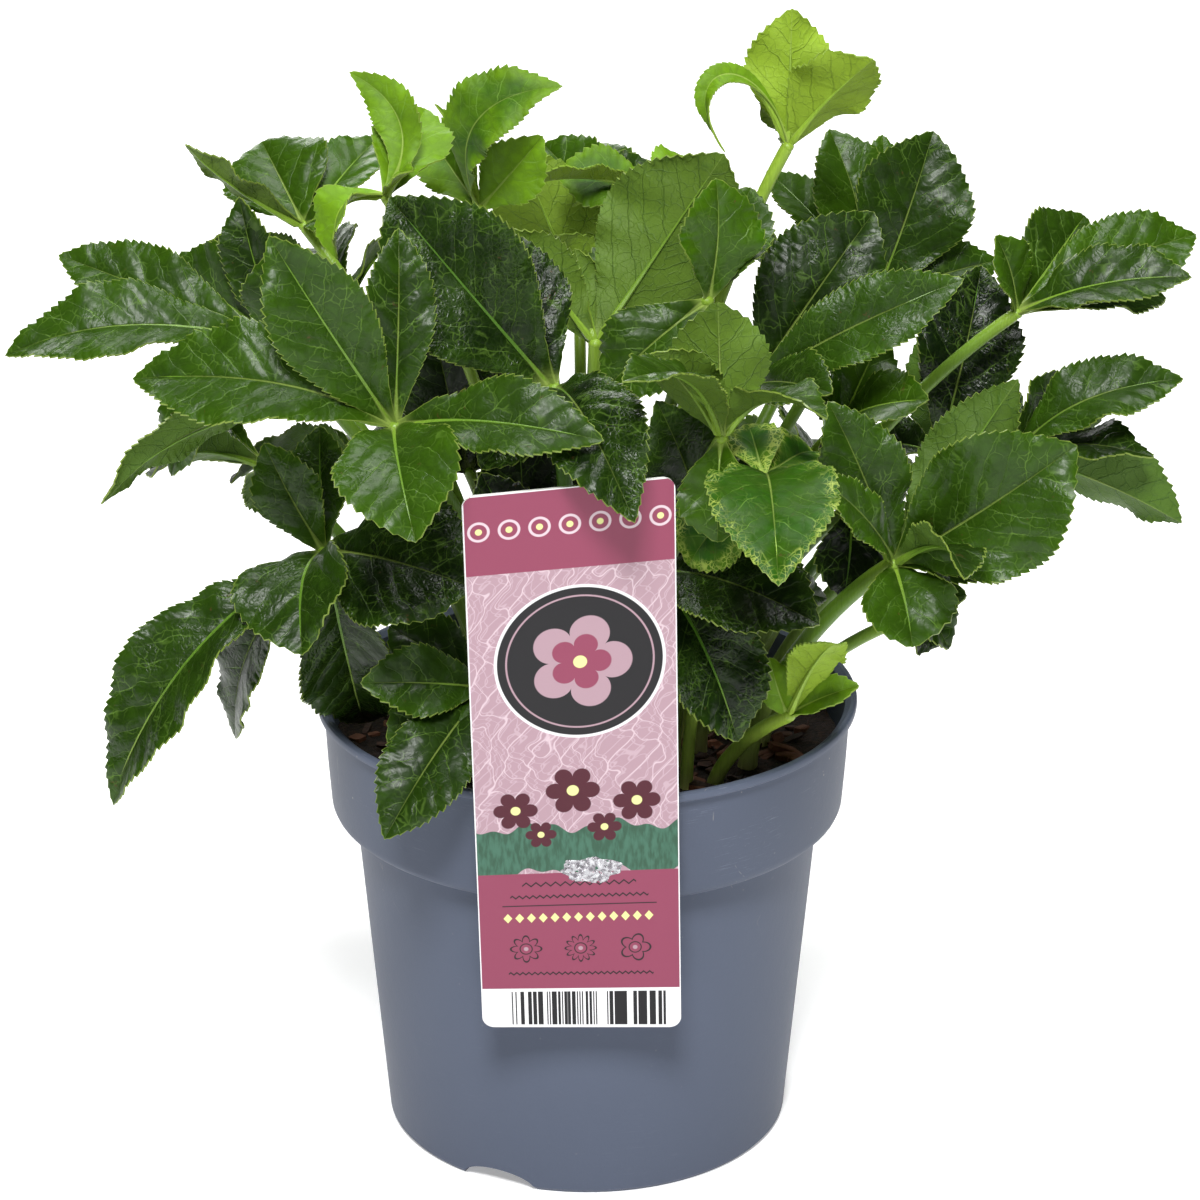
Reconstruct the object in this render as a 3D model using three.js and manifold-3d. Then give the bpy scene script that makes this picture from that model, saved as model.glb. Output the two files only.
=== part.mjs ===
/**
 * Hellebore plant in a round nursery pot, with a hanging label card.
 *
 * Millimetres, +Z up, the front of the pot towards -Y. The origin is the centre of the
 * pot's resting ring. Each leaf is one solid: a leaf stalk, and the toothed leaflets that
 * fan out from its end (the hub).
 */
import * as THREE from 'three';
import { mergeVertices } from 'three/addons/utils/BufferGeometryUtils.js';
import Module from 'manifold-3d';

const wasm = await Module();
wasm.setup();

// ---------------------------------------------------------------- driving dimensions
const RIM_R = 70; // rolled lip, outside
const POT_H = 119;
const STEP_Z = 88.8; // underside of the collar
const COLLAR_R = 66.7; // collar, above its rounded lower edge
const COLLAR_FLARE = 1.5; // how much wider the collar is under the lip
const LIP_H = 2.4;
const BODY_TOP_R = 60.6;
const BODY_BASE_R = 52.9;
const WALL = 1.3;
const FLOOR_Z = 2; // underside of the floor
const FLOOR_T = 1.4;
const FOOT_W = 3.1; // width of the resting ring
const PAD_R = 15; // pad in the middle of the floor, level with the ring
const POT_SEGMENTS = 32;
const SOIL_SEGMENTS = 24;
const NOTCH = { count: 3, first: 244, width: 21, height: 4.4, length: 9 }; // foot arches
const DRAIN = { count: 6, ring: 34, r: 3.6 };

const SOIL_TOP = 107;
const SOIL_GAP = 0.6; // play between soil and wall
const HOLE_DEPTH = 2.7;
const HOLE_PLAY = 1.9;

const CARD = { thick: 0.7, corner: 3, rows: 6 };
const CARD_CORNERS = {
  lowLeft: [-26, -67, 56],
  lowRight: [23.5, -67, 56],
  topLeft: [-29, -87.5, 204],
  topRight: [20.5, -76, 205],
};
const CLIP = { x: -2, width: 12, thick: 0.7, play: 0.4, foot: [-68.9, 93] }; // foot: (y, z)

const BLADE_T = 0.72; // thickness of a leaflet
const BLADE_FOLD = 0.25; // how far a margin stands above the midrib, per half width
const BLADE_WAVE = 0.1; // wave of the margin, per half width
const WAVES = 2.2; // waves along one margin
const LEFT_SHIFT = 2.1; // phase between the waves of the two margins
const STEM_HALF = 1.1; // half width of a leaflet where it leaves the hub
const KNOB = 1.9; // swelling at the hub, per stalk radius
const FOOT_IN = 0.3; // where a leaflet starts inside that swelling
const BROADEST = 1.3; // larger puts the broadest part nearer the tip
const TOOTH_IN = 0.9; // notch and tooth tip, as shares of the half width
const TOOTH_OUT = 1.05;
const TEETH = [[30, 3], [20, 2], [0, 1]]; // [width from, teeth a side]

const LEAF_GREEN = 0x2f6b2a;
const YOUNG_GREEN = 0x8fb04a;

// Leaves are set out in a front view, a picture plane with x to the right and y down.
const VIEW = { y: -940.8, z: 515.3, pitch: 0.376, focal: 3922, middle: [585.6, 600] };

// Stalks rise from a crown in the middle of the pot.
const CROWN = { reach: 46, spacing: 3.8, shareLow: 0.56, shareHigh: 0.2, fade: 0.0032 };

// Leaves that would cross are bent apart along the line of sight.
const SPREAD = { rounds: 120, gap: 2.2, cell: 10, along: 26, across: 11, stalkSteps: 36 };

// ---------------------------------------------------------------- leaves
/**
 * hub and tip: [x, y, depth] in the front view, the depth in millimetres behind the pot's
 * axis. face: the way the upper side looks. stalk: radius. age: 0 dark and old, 1 lime and
 * young. bow: how far a leaflet arches towards its face at one and two thirds of its
 * length, per length. via: the two guide points of a leaflet that curls. sweep: sideways
 * curve. twist: turn towards the tip, radians. root: where the stalk leaves the soil, for
 * a stalk off the crown. pinned: a tip that stays where it is when leaves are spread.
 */
const FRONT_LEAVES = [
  {
    name: 'leaf_front_left', hub: [392, 428, -74], face: [-0.15, -0.65, 0.75], stalk: 1.9, age: 0.25,
    leaflets: [
      { tip: [129, 378, -66], width: 27, bow: [0.28, 0.14] },
      { tip: [97, 500, -84], width: 24, bow: [0.25, 0.2], face: [0, 0.6, 0.75] },
      { tip: [266, 238, -62], width: 24, bow: [0.06, 0.1], face: [-0.1, -0.9, 0.35] },
      { tip: [396, 228, -56], width: 17, bow: [0.05, 0.1], face: [0.2, -0.9, 0.3] },
      { tip: [603, 440, -84], width: 20, bow: [0.18, 0.12] },
      { tip: [416, 543, -98], width: 29, bow: [0.25, 0.25] },
    ],
  },
  {
    name: 'leaf_low_left', hub: [322, 553, -46], face: [-0.45, -0.5, 0.75], stalk: 2.1, age: 0.15,
    leaflets: [
      { tip: [107, 805, -64], width: 27, bow: [0.22, 0.2], face: [-0.5, -0.6, 0.6] },
      { tip: [300, 655, -74], width: 30, bow: [0.3, 0.2] },
      { tip: [234, 738, -30], width: 20, bow: [0.2, 0.15], face: [-0.7, -0.5, 0.2] },
      { tip: [262, 442, -44], width: 17, bow: [0.1, 0.1], face: [-0.2, -0.8, 0.3] },
      { tip: [318, 425, -34], width: 17, bow: [0.1, 0.1], face: [-0.2, -0.9, 0.2] },
      { tip: [476, 590, -58], width: 36, bow: [0.15, 0.1], face: [0, -0.75, 0.6] },
      { tip: [366, 726, -30], width: 25, bow: [0.1, 0.1], face: [0, -0.9, 0.3] },
    ],
  },
  {
    name: 'leaf_rim_left', hub: [484, 690, -46], face: [-0.1, -0.8, 0.55], stalk: 1.8, age: 0.45,
    leaflets: [
      { tip: [388, 627, -44], width: 19, bow: [0.1, 0.1] },
      { tip: [361, 682, -54], width: 18, bow: [0.15, 0.1] },
      { tip: [388, 742, -60], width: 18, bow: [0.2, 0.15] },
      { tip: [384, 838, -77], width: 22, bow: [0.14, 0.16], pinned: true },
      { tip: [446, 797, -68], width: 11, bow: [0.08, 0.08], pinned: true },
    ],
  },
  {
    name: 'leaf_rim_right', hub: [655, 572, -40], face: [0.2, -0.75, 0.6], stalk: 1.9, age: 0,
    root: [8, -24],
    leaflets: [
      { tip: [817, 622, -58], width: 28, bow: [0.18, 0.15] },
      { tip: [738, 741, -62], width: 25, bow: [0.25, 0.2] },
      { tip: [758, 712, -44], width: 13, bow: [0.1, 0.1] },
      { tip: [827, 600, -34], width: 15, bow: [0.1, 0.1] },
    ],
  },
  {
    name: 'leaf_cup_centre', hub: [722, 440, -62], face: [0.05, 0.35, 0.93], stalk: 1.8, age: 0.65,
    leaflets: [
      { tip: [716, 302, -56], width: 24, bow: [-0.05, 0.1], face: [0, 1, 0.2] },
      { tip: [650, 352, -64], width: 17, bow: [0.1, 0.1], face: [0.3, 0.9, 0.3] },
      { tip: [622, 380, -80], width: 18, bow: [0.2, 0.2], face: [0.3, 0.15, 0.9] },
      { tip: [828, 418, -78], width: 18, bow: [0.3, 0.3], face: [-0.2, 0.35, 0.9] },
      { tip: [714, 541, -64], width: 19, bow: [0.15, 0.1], face: [-0.2, -0.9, 0.3] },
    ],
  },
  {
    name: 'leaf_bright_centre', hub: [762, 478, -54], face: [0, -0.75, 0.65], stalk: 1.6, age: 0.85,
    root: [26, -34],
    leaflets: [
      { tip: [777, 582, -82], width: 30, bow: [0.22, 0.2] },
      { tip: [686, 566, -66], width: 19, bow: [0.2, 0.2] },
      { tip: [812, 450, -34], width: 16, bow: [0.1, 0.1] },
      { tip: [745, 424, -36], width: 14, bow: [0.1, 0.1] },
    ],
  },
  {
    name: 'leaf_low_right', hub: [893, 562, -44], face: [0.45, -0.6, 0.65], stalk: 2.3, age: 0.1,
    root: [44, -22],
    leaflets: [
      { tip: [828, 400, -40], width: 22, bow: [0.1, 0.1], face: [0.3, -0.9, 0.2] },
      { tip: [813, 474, -56], width: 13, bow: [0.1, 0.1], face: [0.6, -0.6, 0.4] },
      { tip: [1014, 380, -22], width: 21, bow: [0.1, 0.1], face: [0.3, 0.95, 0.1] },
      { tip: [1076, 444, -52], width: 36, bow: [0.1, 0.15], face: [0.15, -0.93, 0.35] },
      { tip: [962, 578, -68], width: 16, bow: [0.2, 0.2] },
      { tip: [1020, 566, -56], width: 19, bow: [0.2, 0.2] },
      { tip: [912, 646, -58], width: 24, bow: [0.15, 0.2], face: [0.2, -0.9, -0.1] },
      { tip: [948, 648, -36], width: 15, bow: [0.1, 0.1] },
    ],
  },
  {
    name: 'leaf_upper_right', hub: [1012, 314, 6], face: [0.35, -0.5, 0.8], stalk: 1.8, age: 0.5,
    leaflets: [
      { tip: [1188, 275, -4], width: 20, bow: [0.14, 0.12] },
      { tip: [1195, 236, 24], width: 24, bow: [0.1, 0.1] },
      { tip: [1163, 298, 34], width: 16, bow: [0.15, 0.1] },
      { tip: [995, 236, 4], width: 15, bow: [0.1, 0.1] },
      { tip: [1085, 214, 34], width: 22, bow: [0.1, 0.1] },
    ],
  },
  {
    name: 'leaf_far_right', hub: [1012, 458, -12], face: [0.6, -0.35, 0.72], stalk: 1.9, age: 0.2,
    root: [42, 4],
    leaflets: [
      { tip: [1181, 378, 4], width: 20, bow: [0.32, 0.2], face: [0.1, -0.5, 0.85] },
      { tip: [1113, 398, -8], width: 22, bow: [0.1, 0.1], face: [0.2, 0.9, 0.3] },
      { tip: [1153, 458, -14], width: 17, bow: [0.15, 0.1] },
      { tip: [1181, 524, -22], width: 22, bow: [0.12, 0.1], face: [0.1, 0.9, 0.45] },
      { tip: [1056, 372, -4], width: 17, bow: [0.1, 0.1], face: [0.5, -0.8, 0.2] },
    ],
  },
  {
    name: 'leaf_tall_dark_right', hub: [935, 455, 14], face: [0.4, -0.75, 0.5], stalk: 1.8, age: 0,
    leaflets: [
      { tip: [978, 266, 30], width: 27, bow: [0.1, 0.1], face: [0.1, -0.95, 0.2] },
      { tip: [918, 332, 32], width: 18, bow: [0.1, 0.1], face: [0.2, 0.9, 0.2] },
      { tip: [1020, 395, 36], width: 16, bow: [0.1, 0.1] },
      { tip: [865, 440, 30], width: 15, bow: [0.1, 0.1] },
    ],
  },
  {
    name: 'leaf_back_right_tall', hub: [872, 300, 54], face: [0.3, -0.7, 0.6], stalk: 1.8, age: 0.3,
    leaflets: [
      { tip: [933, 133, 66], width: 31, bow: [0.1, 0.1], face: [0.1, -0.95, 0.2] },
      { tip: [879, 135, 78], width: 19, bow: [0.1, 0.1] },
      { tip: [830, 128, 70], width: 26, bow: [0.1, 0.1] },
      { tip: [995, 262, 60], width: 18, bow: [0.1, 0.1] },
      { tip: [765, 172, 80], width: 16, bow: [0.1, 0.1] },
    ],
  },
  {
    name: 'leaf_centre_right', hub: [748, 388, -20], face: [0.1, -0.8, 0.6], stalk: 1.9, age: 0.2,
    leaflets: [
      { tip: [874, 212, -8], width: 31, bow: [0.1, 0.1] },
      { tip: [963, 278, -16], width: 20, bow: [0.2, 0.1] },
      { tip: [830, 395, -40], width: 18, bow: [0.1, 0.1] },
    ],
  },
  {
    name: 'leaf_olive_centre', hub: [592, 345, -14], face: [-0.1, 0.3, 0.9], stalk: 1.9, age: 0.5,
    leaflets: [
      { tip: [724, 156, 4], width: 37, bow: [0.08, 0.1], face: [0.1, 0.95, -0.2] },
      { tip: [497, 230, -4], width: 19, bow: [0.1, 0.1], face: [-0.1, 0.95, 0.2] },
      { tip: [575, 250, 2], width: 13, bow: [0.05, 0.1], face: [0, 0.95, 0.2] },
      { tip: [650, 240, 34], width: 20, bow: [0.1, 0.1] },
    ],
  },
  {
    name: 'leaf_top_young', hub: [787, 150, 14], face: [-0.1, 0.25, 0.95], stalk: 1.8, age: 1,
    leaflets: [
      { tip: [790, 10, 18], width: 22, bow: [-0.05, 0.05], face: [0, 1, 0.1] },
      { tip: [757, 72, 30], width: 17, bow: [0.05, 0.05], face: [0.6, 0.6, 0.2] },
      { tip: [870, 60, 16], width: 23, bow: [0.1, 0.05], face: [-0.3, 0.9, 0.2] },
      { tip: [718, 155, 4], width: 6, via: [[760, 40, 12], [665, 60, 8]], face: [0.3, -0.6, 0.6] },
    ],
  },
  {
    name: 'leaf_top_left_centre', hub: [478, 208, 14], face: [-0.1, -0.4, 0.9], stalk: 1.7, age: 0.85,
    leaflets: [
      { tip: [560, 88, 8], width: 20, via: [[446, 144, 6], [470, 94, 4]], face: [-0.5, -0.7, 0.4] },
      { tip: [541, 137, 30], width: 17, bow: [0.05, 0.1], face: [0.1, -0.9, 0.3] },
      { tip: [433, 104, 18], width: 10, bow: [0.05, 0.1], face: [0.9, 0, 0.3] },
      { tip: [430, 140, 32], width: 16, bow: [0.05, 0.05], face: [0, -0.95, 0.2] },
    ],
  },
  {
    name: 'leaf_twisted_young', hub: [385, 198, -10], face: [0.2, -0.3, 0.9], stalk: 1.6, age: 0.95,
    leaflets: [
      { tip: [348, 74, -6], width: 12, bow: [0, 0], face: [0.1, -0.95, 0.2], sweep: 0.35, twist: 0.5 },
      { tip: [335, 262, -24], width: 15, bow: [0.6, 0.45], face: [-0.4, -0.2, 0.9] },
      { tip: [412, 172, -16], width: 10, bow: [0.1, 0.1] },
      { tip: [425, 112, 14], width: 20, bow: [0.05, 0.1], face: [0, -0.9, 0.3] },
    ],
  },
  {
    name: 'leaf_upper_left', hub: [302, 228, 40], face: [-0.2, -0.6, 0.75], stalk: 1.8, age: 0.5,
    leaflets: [
      { tip: [262, 143, 58], width: 29, bow: [0.05, 0.08], face: [0.1, -0.9, 0.2] },
      { tip: [185, 146, 38], width: 13, bow: [-0.05, -0.08], face: [0.3, 0.6, 0.7] },
      { tip: [380, 137, 64], width: 18, bow: [0.05, 0.1] },
      { tip: [345, 212, 30], width: 11, bow: [0.1, 0.1] },
    ],
  },
  {
    name: 'leaf_left_mid', hub: [284, 345, 6], face: [-0.5, -0.5, 0.7], stalk: 1.9, age: 0.3,
    leaflets: [
      { tip: [168, 262, 20], width: 26, bow: [0.1, 0.1], face: [-0.1, -0.9, 0.3] },
      { tip: [238, 197, 12], width: 16, bow: [0.1, 0.1], face: [-0.4, -0.8, 0.2] },
      { tip: [268, 256, -2], width: 16, bow: [0.1, 0.1], face: [-0.2, -0.9, 0.3] },
      { tip: [322, 288, 22], width: 15, bow: [0.1, 0.1] },
    ],
  },
  {
    name: 'leaf_far_left', hub: [262, 340, -28], face: [-0.4, -0.5, 0.75], stalk: 1.9, age: 0.25,
    leaflets: [
      { tip: [5, 354, -34], width: 23, bow: [0.16, 0.2] },
      { tip: [57, 257, -10], width: 21, bow: [0.02, 0.05] },
      { tip: [84, 292, 10], width: 17, bow: [0.1, 0.1] },
      { tip: [170, 478, -40], width: 20, bow: [0.25, 0.2] },
    ],
  },
  {
    name: 'leaf_dark_centre', hub: [552, 388, -46], face: [0, -0.75, 0.65], stalk: 2.1, age: 0,
    leaflets: [
      { tip: [388, 197, -36], width: 35, bow: [0.1, 0.1], face: [-0.15, -0.9, 0.4] },
      { tip: [505, 230, -30], width: 18, bow: [0.1, 0.1], face: [0.4, -0.85, 0.2] },
      { tip: [634, 523, -98], width: 25, bow: [0.3, 0.3] },
      { tip: [480, 470, -66], width: 20, bow: [0.15, 0.2] },
    ],
  },
  {
    name: 'leaf_olive_back', hub: [578, 300, 44], face: [-0.2, 0.2, 0.9], stalk: 1.7, age: 0.75,
    leaflets: [
      { tip: [515, 152, 54], width: 28, bow: [0.05, 0.1], face: [-0.1, 0.95, 0.2] },
      { tip: [600, 205, 60], width: 18, bow: [0.05, 0.1], face: [0, 0.9, 0.3] },
      { tip: [560, 235, 36], width: 16, bow: [0.05, 0.1], face: [0, 0.9, 0.3] },
    ],
  },
  {
    name: 'leaf_back_centre', hub: [600, 215, 84], face: [0, -0.3, 0.95], stalk: 1.7, age: 0.35,
    leaflets: [
      { tip: [542, 143, 92], width: 21, bow: [0.15, 0.1], face: [0, -0.8, 0.6] },
      { tip: [656, 168, 88], width: 20, bow: [0.15, 0.1], face: [0, -0.8, 0.6] },
      { tip: [600, 142, 108], width: 19, bow: [0.1, 0.1] },
      { tip: [520, 225, 116], width: 20, bow: [0.1, 0.1] },
      { tip: [690, 225, 116], width: 20, bow: [0.1, 0.1] },
    ],
  },
  {
    name: 'leaf_right_dark', hub: [850, 508, -20], face: [0.2, -0.8, 0.55], stalk: 1.8, age: 0,
    leaflets: [
      { tip: [822, 436, -20], width: 20, bow: [0.1, 0.1] },
      { tip: [884, 440, -12], width: 18, bow: [0.1, 0.1] },
      { tip: [802, 470, -16], width: 18, bow: [0.1, 0.1] },
      { tip: [840, 598, -32], width: 19, bow: [0.12, 0.15] },
    ],
  },
  {
    name: 'leaf_right_small', hub: [838, 425, -6], face: [0.1, -0.6, 0.75], stalk: 1.6, age: 0.55,
    leaflets: [
      { tip: [926, 398, -22], width: 18, bow: [0.15, 0.1] },
      { tip: [880, 338, 4], width: 18, bow: [0.1, 0.1] },
      { tip: [803, 378, -12], width: 14, bow: [0.1, 0.1] },
    ],
  },
  {
    name: 'leaf_young_shoot', hub: [786, 716, -42], face: [0.2, -0.5, 0.8], stalk: 2, age: 1,
    root: [34, -36],
    leaflets: [
      { tip: [834, 640, -46], width: 13, bow: [0.1, 0.1] },
      { tip: [858, 684, -48], width: 10, bow: [0.1, 0.1] },
      { tip: [806, 646, -34], width: 14, bow: [0.1, 0.1], face: [0.3, -0.9, 0.2] },
      { tip: [768, 656, -40], width: 12, bow: [0.1, 0.1], face: [-0.3, -0.9, 0.2] },
    ],
  },
  {
    name: 'leaf_label_dark', hub: [528, 570, -16], face: [0, -0.8, 0.5], stalk: 1.8, age: 0,
    leaflets: [
      { tip: [482, 474, -18], width: 20, bow: [0.1, 0.15] },
      { tip: [516, 428, -10], width: 24, bow: [0.1, 0.15] },
      { tip: [570, 424, -6], width: 24, bow: [0.1, 0.15] },
      { tip: [612, 480, -8], width: 18, bow: [0.1, 0.1] },
    ],
  },
  {
    name: 'leaf_inner_right', hub: [702, 548, -30], face: [0.1, -0.8, 0.55], stalk: 1.8, age: 0.1,
    root: [22, -22],
    leaflets: [
      { tip: [656, 400, -24], width: 25, bow: [0.1, 0.15] },
      { tip: [712, 404, -20], width: 22, bow: [0.1, 0.1] },
      { tip: [764, 432, -22], width: 20, bow: [0.1, 0.1] },
      { tip: [640, 500, -34], width: 18, bow: [0.15, 0.15] },
    ],
  },
  {
    name: 'leaf_mid_dark', hub: [470, 470, 0], face: [-0.1, -0.8, 0.5], stalk: 1.8, age: 0.15,
    leaflets: [
      { tip: [428, 318, 8], width: 24, bow: [0.1, 0.1] },
      { tip: [478, 330, 14], width: 22, bow: [0.1, 0.1] },
      { tip: [520, 400, 10], width: 20, bow: [0.1, 0.1] },
      { tip: [404, 410, 4], width: 20, bow: [0.1, 0.1] },
    ],
  },
  {
    name: 'leaf_low_outer', hub: [898, 622, -34], face: [0.5, -0.4, 0.7], stalk: 1.8, age: 0.1,
    root: [46, -8],
    leaflets: [
      { tip: [966, 596, -48], width: 16, bow: [0.15, 0.15] },
      { tip: [938, 646, -46], width: 18, bow: [0.2, 0.2] },
    ],
  },
  {
    name: 'leaf_centre_upright', hub: [705, 302, -36], face: [0, -0.85, 0.5], stalk: 1.8, age: 0.35,
    leaflets: [
      { tip: [601, 392, -50], width: 22, bow: [0.15, 0.15], face: [-0.2, -0.85, 0.45] },
      { tip: [716, 178, -26], width: 23, bow: [0.1, 0.1], face: [0.5, -0.8, 0.2] },
      { tip: [750, 186, -16], width: 19, bow: [0.05, 0.1] },
    ],
  },
  {
    name: 'leaf_bright_top_centre', hub: [655, 196, 40], face: [-0.3, -0.1, 0.95], stalk: 1.6, age: 0.9,
    leaflets: [
      { tip: [556, 178, 30], width: 19, bow: [0.1, 0.1], face: [0, -0.65, 0.75] },
      { tip: [518, 186, 20], width: 11, bow: [0.1, 0.1], face: [0, 0.5, 0.85] },
      { tip: [572, 207, 22], width: 10, bow: [0.1, 0.1], face: [0, 0.4, 0.9] },
      { tip: [690, 160, 62], width: 16, bow: [0.05, 0.1], face: [0, -0.8, 0.5] },
    ],
  },
];

/** Leaves behind the front ones, set out in millimetres: [x, y, z]. */
const BACK_LEAVES = [
  {
    name: 'leaf_back_left', hub: [-66, 58, 200], face: [-0.4, 0.5, 0.75], stalk: 1.9, age: 0.3,
    leaflets: [
      { tip: [-104, 64, 220], width: 22, bow: [0.15, 0.15] },
      { tip: [-108, 98, 200], width: 24, bow: [0.15, 0.2] },
      { tip: [-72, 112, 205], width: 25, bow: [0.15, 0.2], pinned: true },
      { tip: [-44, 88, 222], width: 19, bow: [0.1, 0.1] },
      { tip: [-96, 46, 188], width: 18, bow: [0.15, 0.2] },
    ],
  },
  {
    name: 'leaf_back_left_low', hub: [-56, 66, 152], face: [-0.4, 0.6, 0.7], stalk: 1.9, age: 0.15,
    leaflets: [
      { tip: [-98, 72, 150], width: 23, bow: [0.2, 0.25] },
      { tip: [-92, 108, 140], width: 26, bow: [0.2, 0.25] },
      { tip: [-56, 116, 146], width: 25, bow: [0.2, 0.25], pinned: true },
      { tip: [-30, 98, 160], width: 19, bow: [0.15, 0.15] },
    ],
  },
  {
    name: 'leaf_back_mid', hub: [-12, 92, 198], face: [0, 0.6, 0.75], stalk: 2, age: 0.2,
    leaflets: [
      { tip: [-40, 126, 206], width: 23, bow: [0.15, 0.2] },
      { tip: [-14, 142, 188], width: 27, bow: [0.2, 0.25], pinned: true },
      { tip: [18, 134, 202], width: 24, bow: [0.15, 0.2] },
      { tip: [-44, 100, 180], width: 18, bow: [0.15, 0.2] },
      { tip: [24, 104, 180], width: 18, bow: [0.15, 0.2] },
    ],
  },
  {
    name: 'leaf_back_mid_low', hub: [14, 86, 146], face: [0, 0.7, 0.7], stalk: 1.9, age: 0.1,
    leaflets: [
      { tip: [-26, 116, 140], width: 24, bow: [0.2, 0.25] },
      { tip: [6, 130, 128], width: 27, bow: [0.25, 0.3], pinned: true },
      { tip: [36, 114, 140], width: 24, bow: [0.2, 0.25] },
    ],
  },
  {
    name: 'leaf_back_right', hub: [66, 84, 196], face: [0.4, 0.6, 0.7], stalk: 1.9, age: 0.3,
    leaflets: [
      { tip: [104, 90, 210], width: 22, bow: [0.15, 0.15] },
      { tip: [100, 122, 196], width: 25, bow: [0.15, 0.2] },
      { tip: [62, 132, 200], width: 25, bow: [0.15, 0.2], pinned: true },
      { tip: [36, 108, 208], width: 19, bow: [0.1, 0.1] },
    ],
  },
  {
    name: 'leaf_back_right_low', hub: [60, 64, 152], face: [0.4, 0.6, 0.7], stalk: 1.9, age: 0.15,
    leaflets: [
      { tip: [98, 62, 148], width: 22, bow: [0.2, 0.25] },
      { tip: [94, 100, 138], width: 26, bow: [0.2, 0.25] },
      { tip: [58, 116, 144], width: 25, bow: [0.2, 0.25], pinned: true },
      { tip: [36, 92, 158], width: 18, bow: [0.15, 0.15] },
    ],
  },
  {
    name: 'leaf_side_right', hub: [88, 34, 168], face: [0.75, 0.1, 0.65], stalk: 1.9, age: 0.2,
    leaflets: [
      { tip: [128, 16, 170], width: 21, bow: [0.2, 0.2] },
      { tip: [130, 48, 164], width: 25, bow: [0.2, 0.25] },
      { tip: [106, 74, 166], width: 22, bow: [0.2, 0.2], pinned: true },
      { tip: [94, 60, 142], width: 17, bow: [0.2, 0.2] },
    ],
  },
  {
    name: 'leaf_side_left', hub: [-84, 24, 172], face: [-0.75, 0.1, 0.65], stalk: 1.9, age: 0.2,
    leaflets: [
      { tip: [-112, 4, 176], width: 18, bow: [0.2, 0.2] },
      { tip: [-118, 32, 168], width: 23, bow: [0.2, 0.25] },
      { tip: [-106, 60, 164], width: 22, bow: [0.2, 0.2] },
      { tip: [-76, 54, 146], width: 17, bow: [0.2, 0.2] },
    ],
  },
  {
    name: 'leaf_back_young', hub: [18, 60, 226], face: [0, 0.5, 0.85], stalk: 1.7, age: 0.95,
    leaflets: [
      { tip: [46, 86, 210], width: 17, bow: [0.2, 0.2] },
      { tip: [20, 100, 198], width: 19, bow: [0.2, 0.2] },
      { tip: [-12, 80, 230], width: 16, bow: [0.15, 0.15] },
    ],
  },
];

// ---------------------------------------------------------------- front view
const toVector = (p) => new THREE.Vector3(...p);
const EYE = toVector([0, VIEW.y, VIEW.z]);
const AHEAD = toVector([0, Math.cos(VIEW.pitch), -Math.sin(VIEW.pitch)]);
const UPWARD = toVector([0, Math.sin(VIEW.pitch), Math.cos(VIEW.pitch)]);

/** Point seen at x, y of the front view, at a depth behind the pot's axis. */
function seen([x, y, depth]) {
  const ray = AHEAD.clone()
    .addScaledVector(UPWARD, (VIEW.middle[1] - y) / VIEW.focal)
    .add(toVector([(x - VIEW.middle[0]) / VIEW.focal, 0, 0]));
  return EYE.clone().addScaledVector(ray, (depth - EYE.y) / ray.y);
}

/** Where a point shows in the front view, and how far ahead of the eye it is. */
function show(point) {
  const ray = point.clone().sub(EYE);
  const ahead = ray.dot(AHEAD);
  return {
    x: VIEW.middle[0] + (VIEW.focal * ray.x) / ahead,
    y: VIEW.middle[1] - (VIEW.focal * ray.dot(UPWARD)) / ahead,
    ahead,
  };
}

/** Moves a point along its line of sight, so that its depth grows by `more`. */
function sink(point, more) {
  const share = 1 + more / (point.y - EYE.y);
  point.sub(EYE).multiplyScalar(share).add(EYE);
}

/** A leaf of either table with its places as vectors. */
function placed(leaf, place) {
  const leaflets = leaf.leaflets.map((row) => ({
    ...row,
    tip: place(row.tip),
    via: row.via?.map(place),
    face: toVector(row.face ?? leaf.face),
  }));
  return { ...leaf, hub: place(leaf.hub), leaflets };
}

// ---------------------------------------------------------------- form of a leaf
/** Spine and frame of a leaflet: functions of t, from 0 at the hub to 1 at the tip. */
function leafletFrame(hub, { tip, face, bow, via, sweep = 0, twist = 0 }) {
  const chord = tip.clone().sub(hub);
  const length = chord.length();
  const along = chord.clone().normalize();
  const up = face.clone().addScaledVector(along, -face.dot(along)).normalize();
  const across = along.clone().cross(up);
  const guide = (share, rise) =>
    hub
      .clone()
      .addScaledVector(chord, share)
      .addScaledVector(up, rise * length)
      .addScaledVector(across, sweep * length);
  const guides = via ?? [guide(1 / 3, bow[0]), guide(2 / 3, bow[1])];
  const spine = new THREE.CubicBezierCurve3(hub, guides[0], guides[1], tip);
  const speed = 3 * hub.distanceTo(guides[0]); // of t at the hub, in millimetres
  const frame = (t) => {
    const tangent = spine.getTangent(t);
    const side = across.clone().addScaledVector(tangent, -across.dot(tangent)).normalize();
    const normal = side.clone().cross(tangent);
    const turned = side.clone().multiplyScalar(Math.cos(twist * t));
    turned.addScaledVector(normal, Math.sin(twist * t));
    normal.multiplyScalar(Math.cos(twist * t)).addScaledVector(side, -Math.sin(twist * t));
    return { point: spine.getPoint(t), side: turned, normal };
  };
  return { frame, speed };
}

/** Half width of a leaflet: a narrow foot, broadest past the middle, an acute tip. */
function halfWidth(width, t) {
  const swell = t > 0 && t < 1 ? Math.sin(Math.PI * t ** BROADEST) ** 0.95 : 0;
  return (width / 2) * swell + STEM_HALF * (1 - t) ** 6;
}

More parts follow.
